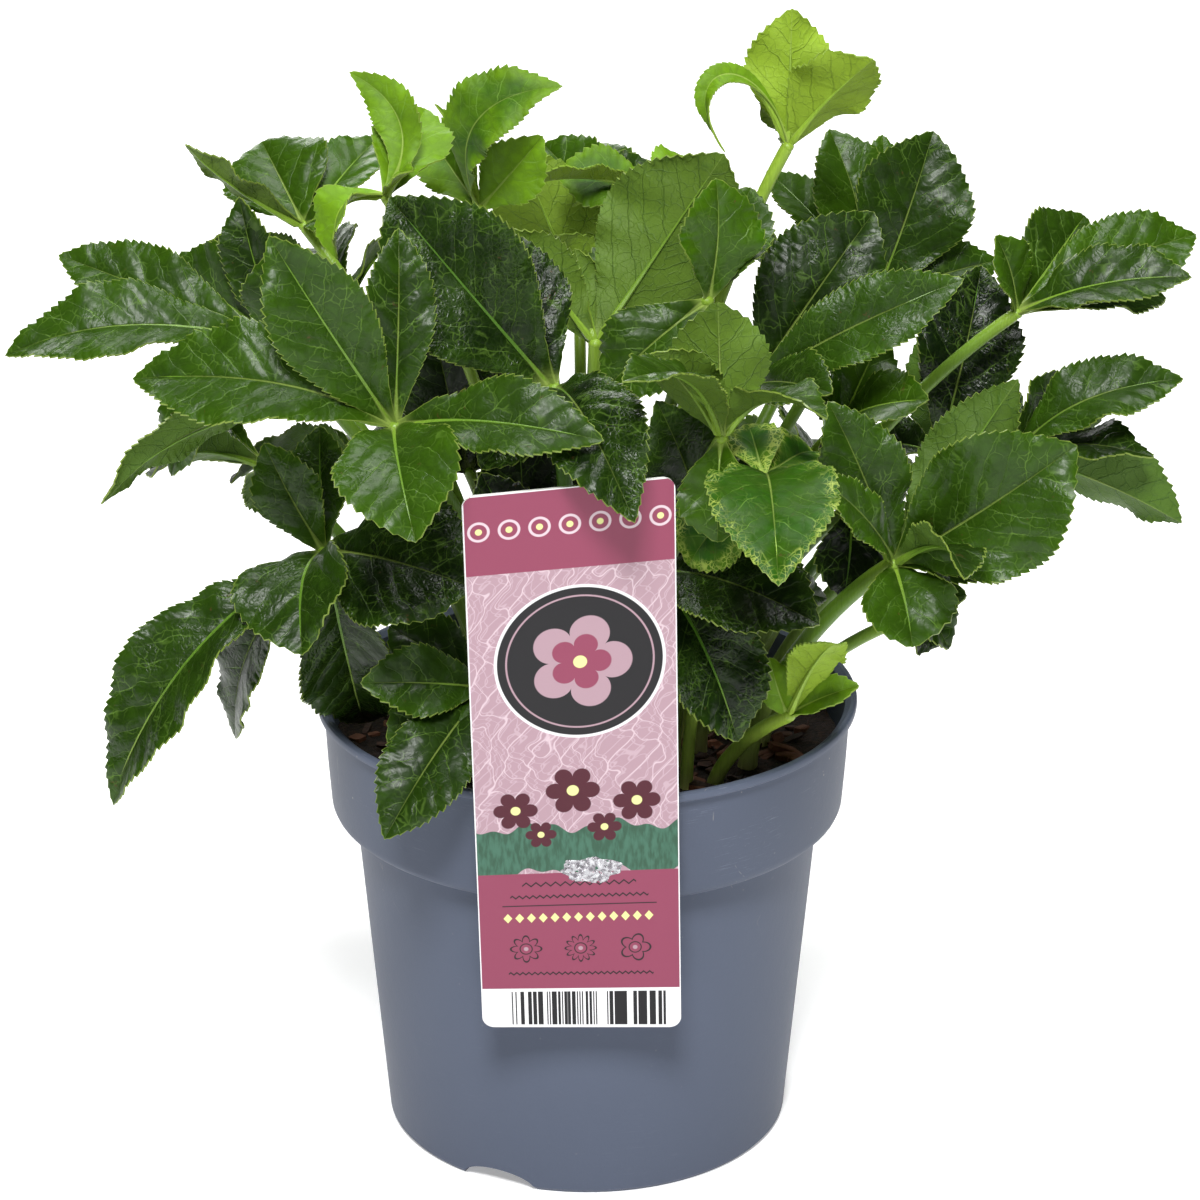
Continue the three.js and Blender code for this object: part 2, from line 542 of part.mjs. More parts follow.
/** Point of a leaflet's middle surface, v from -1 to 1 across, with its normal. */
function bladePoint(frame, width, phase, t, v) {
  const { point, side, normal } = frame(t);
  const half = halfWidth(width, t);
  const swing = phase + (v < 0 ? LEFT_SHIFT : 0);
  const lift =
    BLADE_FOLD * Math.abs(v) * half +
    BLADE_WAVE * half * v * v * Math.sin(2 * Math.PI * WAVES * t + swing);
  point.addScaledVector(side, v * half).addScaledVector(normal, lift);
  return [point, normal];
}

/** Curve of a stalk from its foot to the hub: upright at the soil, then leaning out. */
function stalkPath(foot, hub) {
  const lean = hub.clone().sub(foot);
  const guide = (out, up) => toVector([lean.x * out, lean.y * out, lean.z * up]).add(foot);
  return new THREE.CubicBezierCurve3(foot, guide(0, 0.34), guide(0.6, 0.82), hub);
}

// ---------------------------------------------------------------- setting the leaves out
/** Stalk roots (x, y) round the crown, each leaning towards its hub, spaced apart. */
function rootsOf(leaves) {
  const roots = leaves.map(({ hub, root }) => {
    if (root) return new THREE.Vector2(...root);
    const share = THREE.MathUtils.clamp(
      CROWN.shareLow - (hub.z - 140) * CROWN.fade,
      CROWN.shareHigh,
      CROWN.shareLow,
    );
    return new THREE.Vector2(hub.x, hub.y).multiplyScalar(share).clampLength(0, CROWN.reach - 2);
  });
  for (let round = 0; round < 600; round += 1) {
    roots.forEach((a, i) => {
      for (let j = 0; j < i; j += 1) {
        const apart = a.clone().sub(roots[j]);
        const short = leaves[i].stalk + leaves[j].stalk + CROWN.spacing - apart.length();
        if (short > 0) {
          a.addScaledVector(apart.normalize(), short / 2);
          roots[j].addScaledVector(apart, -short / 2);
        }
      }
      a.clampLength(0, CROWN.reach);
    });
  }
  return roots;
}

/** Points spread over a stalk or a leaflet: {point, t, half thickness}. */
function probes({ leaf, root, leaflet, order }) {
  const found = [];
  if (leaflet) {
    const { frame } = leafletFrame(leaf.hub, leaflet);
    for (let i = 0; i < SPREAD.along; i += 1) {
      const t = 0.06 + (0.94 * i) / (SPREAD.along - 1);
      for (let j = 0; j < SPREAD.across; j += 1) {
        const v = (2 * j) / (SPREAD.across - 1) - 1;
        const [point] = bladePoint(frame, leaflet.width, order, t, v);
        found.push({ point, t, half: 0.35 });
      }
    }
    return found;
  }
  const path = stalkPath(toVector([root.x, root.y, 100]), leaf.hub);
  for (let i = 0; i < SPREAD.stalkSteps; i += 1) {
    const t = i / (SPREAD.stalkSteps - 1);
    for (const off of [-leaf.stalk, 0, leaf.stalk]) {
      const point = path.getPoint(t).add(toVector([off, 0, 0]));
      found.push({ point, t, half: leaf.stalk });
    }
  }
  return found;
}

/** Clearance that two pieces need where their probes overlap in the front view. */
function clearance(a, b, sameLeaf) {
  const near = Math.min(a.t, b.t); // leaflets of one leaf meet at the hub
  const gap = sameLeaf ? Math.min(1.6, 5 * (near - 0.15)) : SPREAD.gap;
  return gap + a.half + b.half;
}

/**
 * Bends leaves that would cross apart along the line of sight, so that the front view
 * stays as it is. Each round finds the probes that share a cell of the picture plane, and
 * moves the hubs and tips of pieces that are too near each other.
 */
function spread(leaves) {
  const roots = rootsOf(leaves);
  const pieces = leaves.flatMap((leaf, i) => [
    { leaf, root: roots[i] },
    ...leaf.leaflets.map((leaflet, order) => ({ leaf, leaflet, order })),
  ]);
  for (let round = 0; round < SPREAD.rounds; round += 1) {
    const cells = new Map();
    pieces.forEach((piece, number) => {
      for (const probe of probes(piece)) {
        const { x, y, ahead } = show(probe.point);
        const cell = Math.floor(x / SPREAD.cell) * 1000 + Math.floor(y / SPREAD.cell);
        if (!cells.has(cell)) cells.set(cell, []);
        cells.get(cell).push({ number, ahead, t: probe.t, half: probe.half });
      }
    });
    pushApart(leaves, pieces, meetings([...cells.values()], pieces));
  }
  leaves.forEach((leaf, i) => {
    leaf.root = roots[i].round();
    wholeMillimetres(leaf.hub);
    leaf.leaflets.forEach(({ tip }) => wholeMillimetres(tip));
  });
  return leaves;
}

/** Rounds a place: its depth first, along the line of sight, then each coordinate. */
function wholeMillimetres(point) {
  sink(point, Math.round(point.y) - point.y);
  point.round();
}

/** Pairs of probes that share a cell, gathered by the two pieces they belong to. */
function meetings(cells, pieces) {
  const pairs = new Map();
  for (const cell of cells) {
    for (let i = 0; i < cell.length; i += 1) {
      for (let j = i + 1; j < cell.length; j += 1) {
        const [a, b] = [cell[i], cell[j]];
        if (a.number === b.number) continue;
        const sameLeaf = pieces[a.number].leaf === pieces[b.number].leaf;
        const nearHub = Math.min(a.t, b.t) <= 0.2;
        const withStalk = !pieces[a.number].leaflet || !pieces[b.number].leaflet;
        if (sameLeaf && (nearHub || withStalk)) continue;
        const key = a.number * pieces.length + b.number;
        if (!pairs.has(key)) pairs.set(key, { sameLeaf, behind: 0, probes: [] });
        const pair = pairs.get(key);
        pair.behind += a.ahead - b.ahead;
        pair.probes.push([a, b]);
      }
    }
  }
  return [...pairs.values()];
}

/** Moves hubs and tips by what their pieces lack, weighted by where along they meet. */
function pushApart(leaves, pieces, pairs) {
  const blank = () => ({ sum: 0, weight: 0 });
  const hubs = new Map(leaves.map((leaf) => [leaf, blank()]));
  const tips = new Map(pieces.map((piece) => [piece, blank()]));
  const add = (to, shares, pushes, factor, steady) => {
    to.sum += factor * shares.reduce((all, share, i) => all + share * pushes[i], 0);
    to.weight += shares.reduce((all, share) => all + share, steady);
  };
  for (const { sameLeaf, behind, probes: met } of pairs) {
    const sign = behind >= 0 ? 1 : -1;
    const lack = ([a, b]) => clearance(a, b, sameLeaf) - sign * (a.ahead - b.ahead);
    const tight = met.filter((pair) => lack(pair) > 0);
    if (!tight.length) continue;
    for (const side of [0, 1]) {
      const piece = pieces[tight[0][side].number];
      const pushes = tight.map((pair) => ((side ? -sign : sign) * lack(pair)) / 2);
      const out = tight.map((pair) => pair[side].t);
      if (!piece.leaflet) {
        add(hubs.get(piece.leaf), out.map((t) => t * t), pushes, 0.6, 3);
        continue;
      }
      if (!sameLeaf) add(hubs.get(piece.leaf), out.map((t) => 1 - t), pushes, 0.5, 6);
      add(tips.get(piece), out, pushes, 1.3, 3);
    }
  }
  const clamp = THREE.MathUtils.clamp;
  for (const [leaf, { sum, weight }] of hubs) {
    if (weight) sink(leaf.hub, clamp(sum / weight, -1.5, 1.5));
  }
  for (const [{ leaflet }, { sum, weight }] of tips) {
    if (weight && leaflet && !leaflet.pinned) sink(leaflet.tip, clamp(sum / weight, -2, 2));
  }
}

const LEAVES = spread([
  ...FRONT_LEAVES.map((leaf) => placed(leaf, seen)),
  ...BACK_LEAVES.map((leaf) => placed(leaf, toVector)),
]);

// ---------------------------------------------------------------- solids
/** Manifold solid of a closed three.js geometry. */
function solid(geometry) {
  const bare = new THREE.BufferGeometry();
  bare.setAttribute('position', geometry.getAttribute('position').clone());
  if (geometry.index) bare.setIndex(geometry.index.clone());
  const welded = mergeVertices(bare, 1e-4);
  return new wasm.Manifold(
    new wasm.Mesh({
      numProp: 3,
      vertProperties: new Float32Array(welded.getAttribute('position').array),
      triVerts: new Uint32Array(welded.index.array),
    }),
  );
}

/** Solid of a list of points and of triangles given by point number. */
function solidOf(points, triangles) {
  const geometry = new THREE.BufferGeometry();
  geometry.setAttribute(
    'position',
    new THREE.Float32BufferAttribute(points.flatMap((p) => [p.x, p.y, p.z]), 3),
  );
  geometry.setIndex(triangles.flat());
  return solid(geometry);
}

/** Named mesh of a solid, in its own material. */
function part(name, whole, colour, roughness) {
  const { vertProperties, triVerts } = whole.getMesh();
  const geometry = new THREE.BufferGeometry();
  geometry.setAttribute('position', new THREE.Float32BufferAttribute(vertProperties, 3));
  geometry.setIndex(Array.from(triVerts));
  geometry.computeVertexNormals();
  const material = new THREE.MeshStandardMaterial({ color: colour, roughness, metalness: 0 });
  const mesh = new THREE.Mesh(geometry, material);
  mesh.name = name;
  return mesh;
}

/** Solid of revolution round Z from [radius, height] points. */
function turned(profile, segments) {
  const lathe = new THREE.LatheGeometry(
    profile.map(([r, z]) => new THREE.Vector2(r, z)),
    segments,
  );
  return solid(lathe.rotateX(Math.PI / 2));
}

/** Upright cylinder from z0 to z1. */
function peg(x, y, r, z0, z1, segments) {
  const geometry = new THREE.CylinderGeometry(r, r, z1 - z0, segments).rotateX(Math.PI / 2);
  return solid(geometry.translate(x, y, (z0 + z1) / 2));
}

// ---------------------------------------------------------------- pot and soil
/** Outside radius of the pot's body at a height. */
const bodyR = (z) => BODY_BASE_R + ((BODY_TOP_R - BODY_BASE_R) * z) / STEP_Z;

function pot() {
  const collarTopR = COLLAR_R + COLLAR_FLARE;
  const floorTop = FLOOR_Z + FLOOR_T;
  const stepIn = STEP_Z + WALL; // upper side of the step, inside
  const whole = turned(
    [
      [0, 0],
      [PAD_R - FLOOR_Z, 0],
      [PAD_R, FLOOR_Z],
      [BODY_BASE_R - FOOT_W - 0.9, FLOOR_Z],
      [BODY_BASE_R - FOOT_W, 0],
      [BODY_BASE_R - 0.9, 0],
      [bodyR(1.2), 1.2],
      [bodyR(STEP_Z), STEP_Z],
      [COLLAR_R - 2.2, STEP_Z],
      [COLLAR_R - 0.6, STEP_Z + 0.8],
      [COLLAR_R, STEP_Z + 2.8],
      [collarTopR, POT_H - LIP_H - 0.7],
      [RIM_R - 0.5, POT_H - LIP_H],
      [RIM_R, POT_H - LIP_H + 0.7],
      [RIM_R, POT_H - 0.7],
      [RIM_R - 0.7, POT_H],
      [RIM_R - 1.7, POT_H],
      [collarTopR - WALL, POT_H - 1.4],
      [COLLAR_R - WALL, stepIn + 1.6],
      [COLLAR_R - WALL - 1.2, stepIn],
      [bodyR(stepIn) - WALL, stepIn],
      [bodyR(floorTop) - WALL, floorTop],
      [PAD_R - 1, floorTop],
      [PAD_R - 1 - FLOOR_Z, FLOOR_T],
      [0, FLOOR_T],
    ],
    POT_SEGMENTS,
  );
  return whole.subtract(notches()).subtract(drains());
}

/** Low arches cut through the foot ring. */
function notches() {
  const arch = new THREE.Shape();
  arch.moveTo(-NOTCH.width / 2, -1);
  arch.lineTo(-NOTCH.width / 2, 0.6);
  arch.quadraticCurveTo(-NOTCH.width / 2 + 1.5, NOTCH.height, 0, NOTCH.height);
  arch.quadraticCurveTo(NOTCH.width / 2 - 1.5, NOTCH.height, NOTCH.width / 2, 0.6);
  arch.lineTo(NOTCH.width / 2, -1);
  const solids = [];
  for (let i = 0; i < NOTCH.count; i += 1) {
    const block = new THREE.ExtrudeGeometry(arch, {
      depth: NOTCH.length,
      bevelEnabled: false,
      curveSegments: 3,
    });
    // the arch looks outwards: its depth runs along the pot's radius
    block.rotateX(Math.PI / 2).rotateZ(Math.PI / 2);
    block.translate(BODY_BASE_R - FOOT_W - 2.2, 0, 0);
    block.rotateZ(THREE.MathUtils.degToRad(NOTCH.first + (i * 360) / NOTCH.count));
    solids.push(solid(block));
  }
  return solids.reduce((a, b) => a.add(b));
}

function drains() {
  const holes = [];
  for (let i = 0; i < DRAIN.count; i += 1) {
    const a = ((i + 0.5) * 2 * Math.PI) / DRAIN.count;
    const [x, y] = [DRAIN.ring * Math.cos(a), DRAIN.ring * Math.sin(a)];
    holes.push(peg(x, y, DRAIN.r, FLOOR_Z - 1, FLOOR_Z + FLOOR_T + 1, 6));
  }
  return holes.reduce((a, b) => a.add(b));
}

/** Potting soil that fills the pot, with a plain hole for each stalk. */
function soil() {
  const bottom = FLOOR_Z + FLOOR_T + SOIL_GAP;
  const step = STEP_Z + WALL + SOIL_GAP;
  const inner = WALL + SOIL_GAP;
  const whole = turned(
    [
      [0, bottom],
      [bodyR(bottom) - inner, bottom],
      [bodyR(step) - inner, step],
      [COLLAR_R - inner - 1.2, step],
      [COLLAR_R + 0.6 - inner, SOIL_TOP - 1],
      [COLLAR_R - inner - 1, SOIL_TOP],
      [0, SOIL_TOP],
    ],
    SOIL_SEGMENTS,
  );
  const holes = LEAVES.map(({ root, stalk }) =>
    peg(root.x, root.y, stalk + HOLE_PLAY, SOIL_TOP - HOLE_DEPTH, SOIL_TOP + 4, 6),
  );
  return whole.subtract(holes.reduce((a, b) => a.add(b)));
}

// ---------------------------------------------------------------- label card and clip
/** Point of the card's middle surface: u across from the left, v up from the foot. */
function cardPoint(u, v) {
  const { lowLeft, lowRight, topLeft, topRight } = CARD_CORNERS;
  const low = toVector(lowLeft).lerp(toVector(lowRight), u);
  return low.lerp(toVector(topLeft).lerp(toVector(topRight), u), v);
}

function card() {
  const { rows, thick, corner } = CARD;
  const height = cardPoint(0.5, 1).distanceTo(cardPoint(0.5, 0));
  const width = cardPoint(1, 0.5).distanceTo(cardPoint(0, 0.5));
  // stations up the right side, with both corners cut round, and the same on the left
  const [cutU, cutV] = [corner / width, corner / height];
  const corners = [[cutU, 0], [0.3 * cutU, 0.3 * cutV], [0, cutV]];
  const right = corners.map(([u, v]) => [1 - u, v]);
  for (let i = 1; i < rows; i += 1) right.push([1, i / rows]);
  right.push(...corners.toReversed().map(([u, v]) => [1 - u, 1 - v]));
  const left = right.map(([u, v]) => [1 - u, v]);
  const half = new THREE.Vector3(0, thick / 2, 0);
  const points = [];
  for (const side of [-1, 1]) {
    for (const [u, v] of [...right, ...left]) {
      points.push(cardPoint(u, v).addScaledVector(half, side));
    }
  }
  const n = right.length;
  const triangles = [];
  const front = (i) => i;
  const back = (i) => i + 2 * n;
  const quad = (a, b, c, d) => triangles.push([a, b, c], [a, c, d]);
  for (let i = 0; i + 1 < n; i += 1) {
    quad(front(n + i), front(i), front(i + 1), front(n + i + 1));
    quad(back(i), back(n + i), back(n + i + 1), back(i + 1));
    quad(front(i), back(i), back(i + 1), front(i + 1));
    quad(back(n + i), front(n + i), front(n + i + 1), back(n + i + 1));
  }
  quad(front(n), back(n), back(0), front(0));
  quad(front(n - 1), back(n - 1), back(2 * n - 1), front(2 * n - 1));
  return solidOf(points, triangles);
}

/** Hook strip on the card's back, bent over the rim and down inside the pot. */
function clip() {
  const { x, width, thick, play, foot } = CLIP;
  const outside = -(RIM_R + play);
  const inside = -(COLLAR_R - WALL - 0.3);
  const over = POT_H + play;
  const down = SOIL_TOP + 1.5;
  const bend = thick * 0.6; // cut across each bend
  const lipFoot = POT_H - LIP_H - 2.4;
  const strip = new THREE.Shape();
  strip.moveTo(...foot);
  strip.lineTo(outside, lipFoot);
  strip.lineTo(outside, over - bend);
  strip.lineTo(outside + bend, over);
  strip.lineTo(inside - bend, over);
  strip.lineTo(inside, over - bend);
  strip.lineTo(inside, down);
  strip.lineTo(inside + thick, down);
  strip.lineTo(inside + thick, over + thick - bend);
  strip.lineTo(inside + thick - bend, over + thick);
  strip.lineTo(outside - thick + bend, over + thick);
  strip.lineTo(outside - thick, over + thick - bend);
  strip.lineTo(outside - thick, lipFoot);
  strip.lineTo(foot[0] - thick, foot[1]);
  const geometry = new THREE.ExtrudeGeometry(strip, { depth: width, bevelEnabled: false });
  // drawn as (y, z), pushed out along x
  const axes = [toVector([0, 1, 0]), toVector([0, 0, 1]), toVector([1, 0, 0])];
  geometry.applyMatrix4(new THREE.Matrix4().makeBasis(...axes));
  return solid(geometry.translate(x - width / 2, 0, 0));
}

// ---------------------------------------------------------------- leaves
/** Toothed, folded and waved leaflet of even thickness. */
function leafletSolid({ hub, stalk }, leaflet, phase) {
  const { frame, speed } = leafletFrame(hub, leaflet);
  const start = (stalk * KNOB * FOOT_IN) / speed;
  const { width } = leaflet;
  const teeth = TEETH.find(([from]) => width >= from)[1];
  // margin stations: the shoulder, then a tooth tip and a notch for each tooth
  const station = (i) => 0.22 + (0.7 * i) / (teeth + 0.35);
  const margin = [[0.2, 1]];
  const middle = [start, 0.2];
  for (let i = 1; i <= teeth; i += 1) {
    margin.push([station(i), TOOTH_OUT], [station(i) + 0.012, TOOTH_IN]);
    if (i < teeth) middle.push(station(i + 0.2));
  }
  middle.push(1);

  const stations = [
    ...margin.map(([t, v]) => ({ t, v })),
    ...margin.map(([t, v]) => ({ t, v: -v })),
    ...middle.map((t) => ({ t, v: 0 })),
  ];
  const count = margin.length;
  const spine = middle.map((_, i) => 2 * count + i);
  const foot = spine[0];
  const apex = spine.at(-1);
  const right = [foot, ...margin.map((_, i) => i), apex];
  const left = [foot, ...margin.map((_, i) => i + count), apex];

  const upper = [];
  const lower = [];
  for (const { t, v } of stations) {
    const [point, normal] = bladePoint(frame, width, phase, t, v);
    upper.push(point.clone().addScaledVector(normal, BLADE_T / 2));
    lower.push(point.clone().addScaledVector(normal, -BLADE_T / 2));
  }
  const mirrored = zip(spine, left, stations).map(([a, b, c]) => [a, c, b]);
  const triangles = [...zip(spine, right, stations), ...mirrored];
  const under = stations.length;
  triangles.push(...triangles.map(([a, b, c]) => [a + under, c + under, b + under]));
  // the edge runs from the apex down the left side to the foot, and up the right side
  const edge = [...left.toReversed(), ...right.slice(1, -1)];
  edge.forEach((a, i) => {
    const b = edge[(i + 1) % edge.length];
    triangles.push([b, a, a + under], [b, a + under, b + under]);
  });
  return solidOf([...upper, ...lower], triangles);
}

/** Triangles between two chains of stations, stepping whichever lags along the leaflet. */
function zip(inner, outer, stations) {
  const triangles = [];
  let i = 0;
  let j = 0;
  while (i < inner.length - 1 || j < outer.length - 1) {
    const stepOuter =
      i === inner.length - 1 ||
      (j < outer.length - 1 && stations[outer[j + 1]].t <= stations[inner[i + 1]].t);
    const next = stepOuter ? outer[j + 1] : inner[i + 1];
    if (next !== inner[i] && next !== outer[j]) triangles.push([inner[i], outer[j], next]);
    if (stepOuter) j += 1;
    else i += 1;
  }
  return triangles;
}

/** Five-sided leaf stalk from its hole in the soil to the hub. */
function stalkSolid({ root, hub, stalk }) {
  const foot = toVector([root.x, root.y, SOIL_TOP - HOLE_DEPTH + 0.4]);
  const ring = new THREE.Shape();
  for (let i = 0; i < 5; i += 1) {
    const a = (i * 2 * Math.PI) / 5;
    ring[i ? 'lineTo' : 'moveTo'](stalk * Math.cos(a), stalk * Math.sin(a));
  }
  const steps = hub.z - foot.z > 60 ? 5 : 3;
  const extrudePath = stalkPath(foot, hub);
  return solid(new THREE.ExtrudeGeometry(ring, { steps, bevelEnabled: false, extrudePath }));
}

function leafSolid(leaf) {
  const blades = leaf.leaflets.map((leaflet, i) => leafletSolid(leaf, leaflet, i));
  const knob = new THREE.OctahedronGeometry(leaf.stalk * KNOB).translate(...leaf.hub);
  return [...blades, solid(knob)].reduce((whole, more) => whole.add(more), stalkSolid(leaf));
}

// ---------------------------------------------------------------- assembly
const plant = new THREE.Group();
plant.name = 'hellebore_in_pot';
plant.add(part('pot', pot(), 0x646a7a, 0.5));
plant.add(part('soil', soil(), 0x2b1d15, 0.95));
plant.add(part('label_card', card(), 0xa85c70, 0.35));
plant.add(part('label_clip', clip(), 0xe8e8ea, 0.3));
for (const leaf of LEAVES) {
  const green = new THREE.Color(LEAF_GREEN).lerp(new THREE.Color(YOUNG_GREEN), leaf.age);
  plant.add(part(leaf.name, leafSolid(leaf), green, 0.4));
}

export default plant;
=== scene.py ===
"""Hellebore plant in a round nursery pot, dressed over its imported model.

The plant is one object per leaf: fine toothed leaflets, their ribs and the leaf stalk.
The pot, the potting soil and the hanging card are objects of their own.
"""
import logging
import math
from dataclasses import dataclass, field
from enum import Enum
from typing import Callable, Sequence

import bmesh
import bpy
import numpy as np
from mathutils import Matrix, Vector, noise


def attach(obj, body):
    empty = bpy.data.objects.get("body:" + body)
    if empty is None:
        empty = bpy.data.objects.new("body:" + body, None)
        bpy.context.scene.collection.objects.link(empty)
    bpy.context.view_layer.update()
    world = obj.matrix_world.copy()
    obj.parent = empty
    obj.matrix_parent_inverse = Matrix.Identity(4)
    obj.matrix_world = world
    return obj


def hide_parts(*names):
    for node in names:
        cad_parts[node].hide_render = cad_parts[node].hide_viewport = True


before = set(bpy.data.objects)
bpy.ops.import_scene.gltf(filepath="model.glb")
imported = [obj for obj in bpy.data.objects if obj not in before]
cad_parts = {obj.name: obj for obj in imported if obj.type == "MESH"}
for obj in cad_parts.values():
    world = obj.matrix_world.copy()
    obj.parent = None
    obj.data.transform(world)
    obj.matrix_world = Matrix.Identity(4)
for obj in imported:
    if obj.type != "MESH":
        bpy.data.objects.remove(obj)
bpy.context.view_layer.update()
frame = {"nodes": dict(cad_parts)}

log = logging.getLogger("hellebore")

MM = 0.001
TURN = 2 * math.pi
Triple = tuple[float, float, float]
Pair = tuple[float, float]


class Side(Enum):
    """Sides of a sheet, by material slot."""

    FRONT = 0
    BACK = 1


class Cells(Enum):
    """What a pattern of cells is measured from."""

    WALLS = "DISTANCE_TO_EDGE"
    SEEDS = "F1"


# ------------------------------------------------------------------ shader expressions
def operation(kind: str, swapped: bool = False) -> Callable[..., "Value"]:
    """Makes a method of Value that adds one Math node.

    Args:
        kind: what the node does.
        swapped: whether the value comes after the other one.

    Returns:
        The method.
    """

    def method(self: "Value", *others: "Value | float") -> "Value":
        """Returns the node's result for this value and the others."""
        inputs = (*others, self) if swapped else (self, *others)
        return self.graph.node("ShaderNodeMath", *inputs, operation=kind)

    return method


class Value:
    """A node socket with arithmetic: an expression on values adds its Math nodes."""

    __add__ = __radd__ = operation("ADD")
    __sub__ = operation("SUBTRACT")
    __rsub__ = operation("SUBTRACT", swapped=True)
    __mul__ = __rmul__ = operation("MULTIPLY")
    __truediv__ = operation("DIVIDE")
    __pow__ = operation("POWER")
    __abs__ = operation("ABSOLUTE")
    below = operation("LESS_THAN")  # one where the value is under the limit, else nought
    least = operation("MINIMUM")
    most = operation("MAXIMUM")
    fraction = operation("FRACT")  # what is left after the whole part
    whole = operation("FLOOR")
    sine = operation("SINE")
    cosine = operation("COSINE")
    bearing = operation("ARCTAN2")  # angle of the point (other, self), in radians

    def __init__(self, graph: "Graph", socket: bpy.types.NodeSocket) -> None:
        """Wraps one output socket of a graph."""
        self.graph = graph
        self.socket = socket

    def rise(self, low: float, high: float, soft: bool = True) -> "Value":
        """Goes from 0 at low to 1 at high.

        Args:
            low: value that gives nought.
            high: value that gives one.
            soft: eased at both ends, or straight.

        Returns:
            The eased value.
        """
        kind = "SMOOTHSTEP" if soft else "LINEAR"
        return self.graph.node("ShaderNodeMapRange", self, low, high, interpolation_type=kind)


class Graph:
    """The node tree of one material."""

    def __init__(self, name: str) -> None:
        """Starts an empty material with a name.

        Args:
            name: the material's name.
        """
        self.material = bpy.data.materials.new(name)
        self.material.use_nodes = True
        self.tree = self.material.node_tree
        self.tree.nodes.clear()

    def node(
        self,
        kind: str,
        *inputs: "Value | float | tuple",
        named: dict | None = None,
        out: int | str = 0,
        **settings: object,
    ) -> Value:
        """Adds a node.

        Args:
            kind: the node's type.
            inputs: values or links of the first sockets, in order.
            named: values or links by socket name or number.
            out: the output that is returned.
            settings: the node's own settings, set first.

        Returns:
            The chosen output.
        """
        made = self.tree.nodes.new(kind)
        for key, setting in settings.items():
            setattr(made, key, setting)
        for key, value in [*enumerate(inputs), *(named or {}).items()]:
            socket = made.inputs[key]
            if isinstance(value, Value):
                self.tree.links.new(value.socket, socket)
            else:
                socket.default_value = value[:3] if socket.type == "VECTOR" else value
        return Value(self, made.outputs[out])

    def ramp(self, share: Value, stops: Sequence[tuple]) -> Value:
        """Colour ramp through stops of a place and a colour.

        Args:
            share: the place that is looked up, 0 to 1.
            stops: places and colours, in order.

        Returns:
            The colour.
        """
        ramped = self.node("ShaderNodeValToRGB", share)
        elements = ramped.socket.node.color_ramp.elements
        while len(elements) < len(stops):
            elements.new(0.5)
        for element, (place, colour) in zip(elements, stops):
            element.position = place
            element.color = colour
        return ramped

    def mix(self, share: "Value | float", first: "Value | tuple", second: "Value | tuple") -> Value:
        """Blends two colours, from the first at 0 to the second at 1."""
        return self.node("ShaderNodeMix", named={0: share, 6: first, 7: second}, out=2, data_type="RGBA")

    def times(self, colour: "Value | tuple", factor: "Value | float") -> Value:
        """A colour or vector made larger or smaller by a value."""
        return self.node("ShaderNodeVectorMath", named={0: colour, "Scale": factor}, operation="SCALE")

    def vector(self, x: "Value | float", y: "Value | float", z: "Value | float" = 0.0) -> Value:
        """A vector of three values."""
        return self.node("ShaderNodeCombineXYZ", x, y, z)

    def parts(self, vector: Value) -> tuple[Value, Value, Value]:
        """The three values of a vector."""
        split = self.node("ShaderNodeSeparateXYZ", vector).socket.node
        return tuple(Value(self, socket) for socket in split.outputs)

    def place(self) -> Value:
        """Object coordinates, in millimetres."""
        return self.times(self.node("ShaderNodeTexCoord", out="Object"), 1 / MM)

    def map(self, name: str) -> Value:
        """The piece's own UV map."""
        return self.node("ShaderNodeUVMap", uv_map=name)

    def attribute(self, name: str) -> Value:
        """A number kept on the mesh."""
        return self.node("ShaderNodeAttribute", out="Fac", attribute_name=name)

    def noise(self, vector: Value, scale: float, detail: float = 2.0, rough: float = 0.5) -> Value:
        """Smooth noise from 0 to 1 about one half."""
        named = {"Vector": vector, "Scale": scale, "Detail": detail, "Roughness": rough}
        return self.node("ShaderNodeTexNoise", named=named)

    def cells(self, vector: Value, scale: float, origin: Cells = Cells.WALLS) -> Value:
        """Cell pattern: how far from the cells' walls, or from their seeds."""
        named = {"Vector": vector, "Scale": scale}
        return self.node("ShaderNodeTexVoronoi", named=named, feature=origin.value)

    def finish(
        self,
        colour: "Value | tuple",
        roughness: "Value | float",
        height: "Value | None" = None,
        constants: dict | None = None,
    ) -> bpy.types.Material:
        """Closes the material with its main shader.

        Args:
            colour: base colour.
            roughness: roughness.
            height: relief in millimetres.
            constants: numbers that are the same all over, by socket name.

        Returns:
            The material.
        """
        named = {"Base Color": colour, "Roughness": roughness, **(constants or {})}
        if height is not None:
            relief = {"Height": height, "Distance": MM, "Strength": 1.0}
            named["Normal"] = self.node("ShaderNodeBump", named=relief)
        shader = self.node("ShaderNodeBsdfPrincipled", named=named)
        end = self.tree.nodes.new("ShaderNodeOutputMaterial")
        self.tree.links.new(shader.socket, end.inputs["Surface"])
        return self.material


def paint(red: float, green: float, blue: float) -> tuple[float, float, float, float]:
    """Linear colour of a display colour.

    Args:
        red: 0 to 255.
        green: 0 to 255.
        blue: 0 to 255.

    Returns:
        The colour with full alpha.
    """
    lift = [c / 255 for c in (red, green, blue)]
    return (*[c / 12.92 if c < 0.04045 else ((c + 0.055) / 1.055) ** 2.4 for c in lift], 1.0)


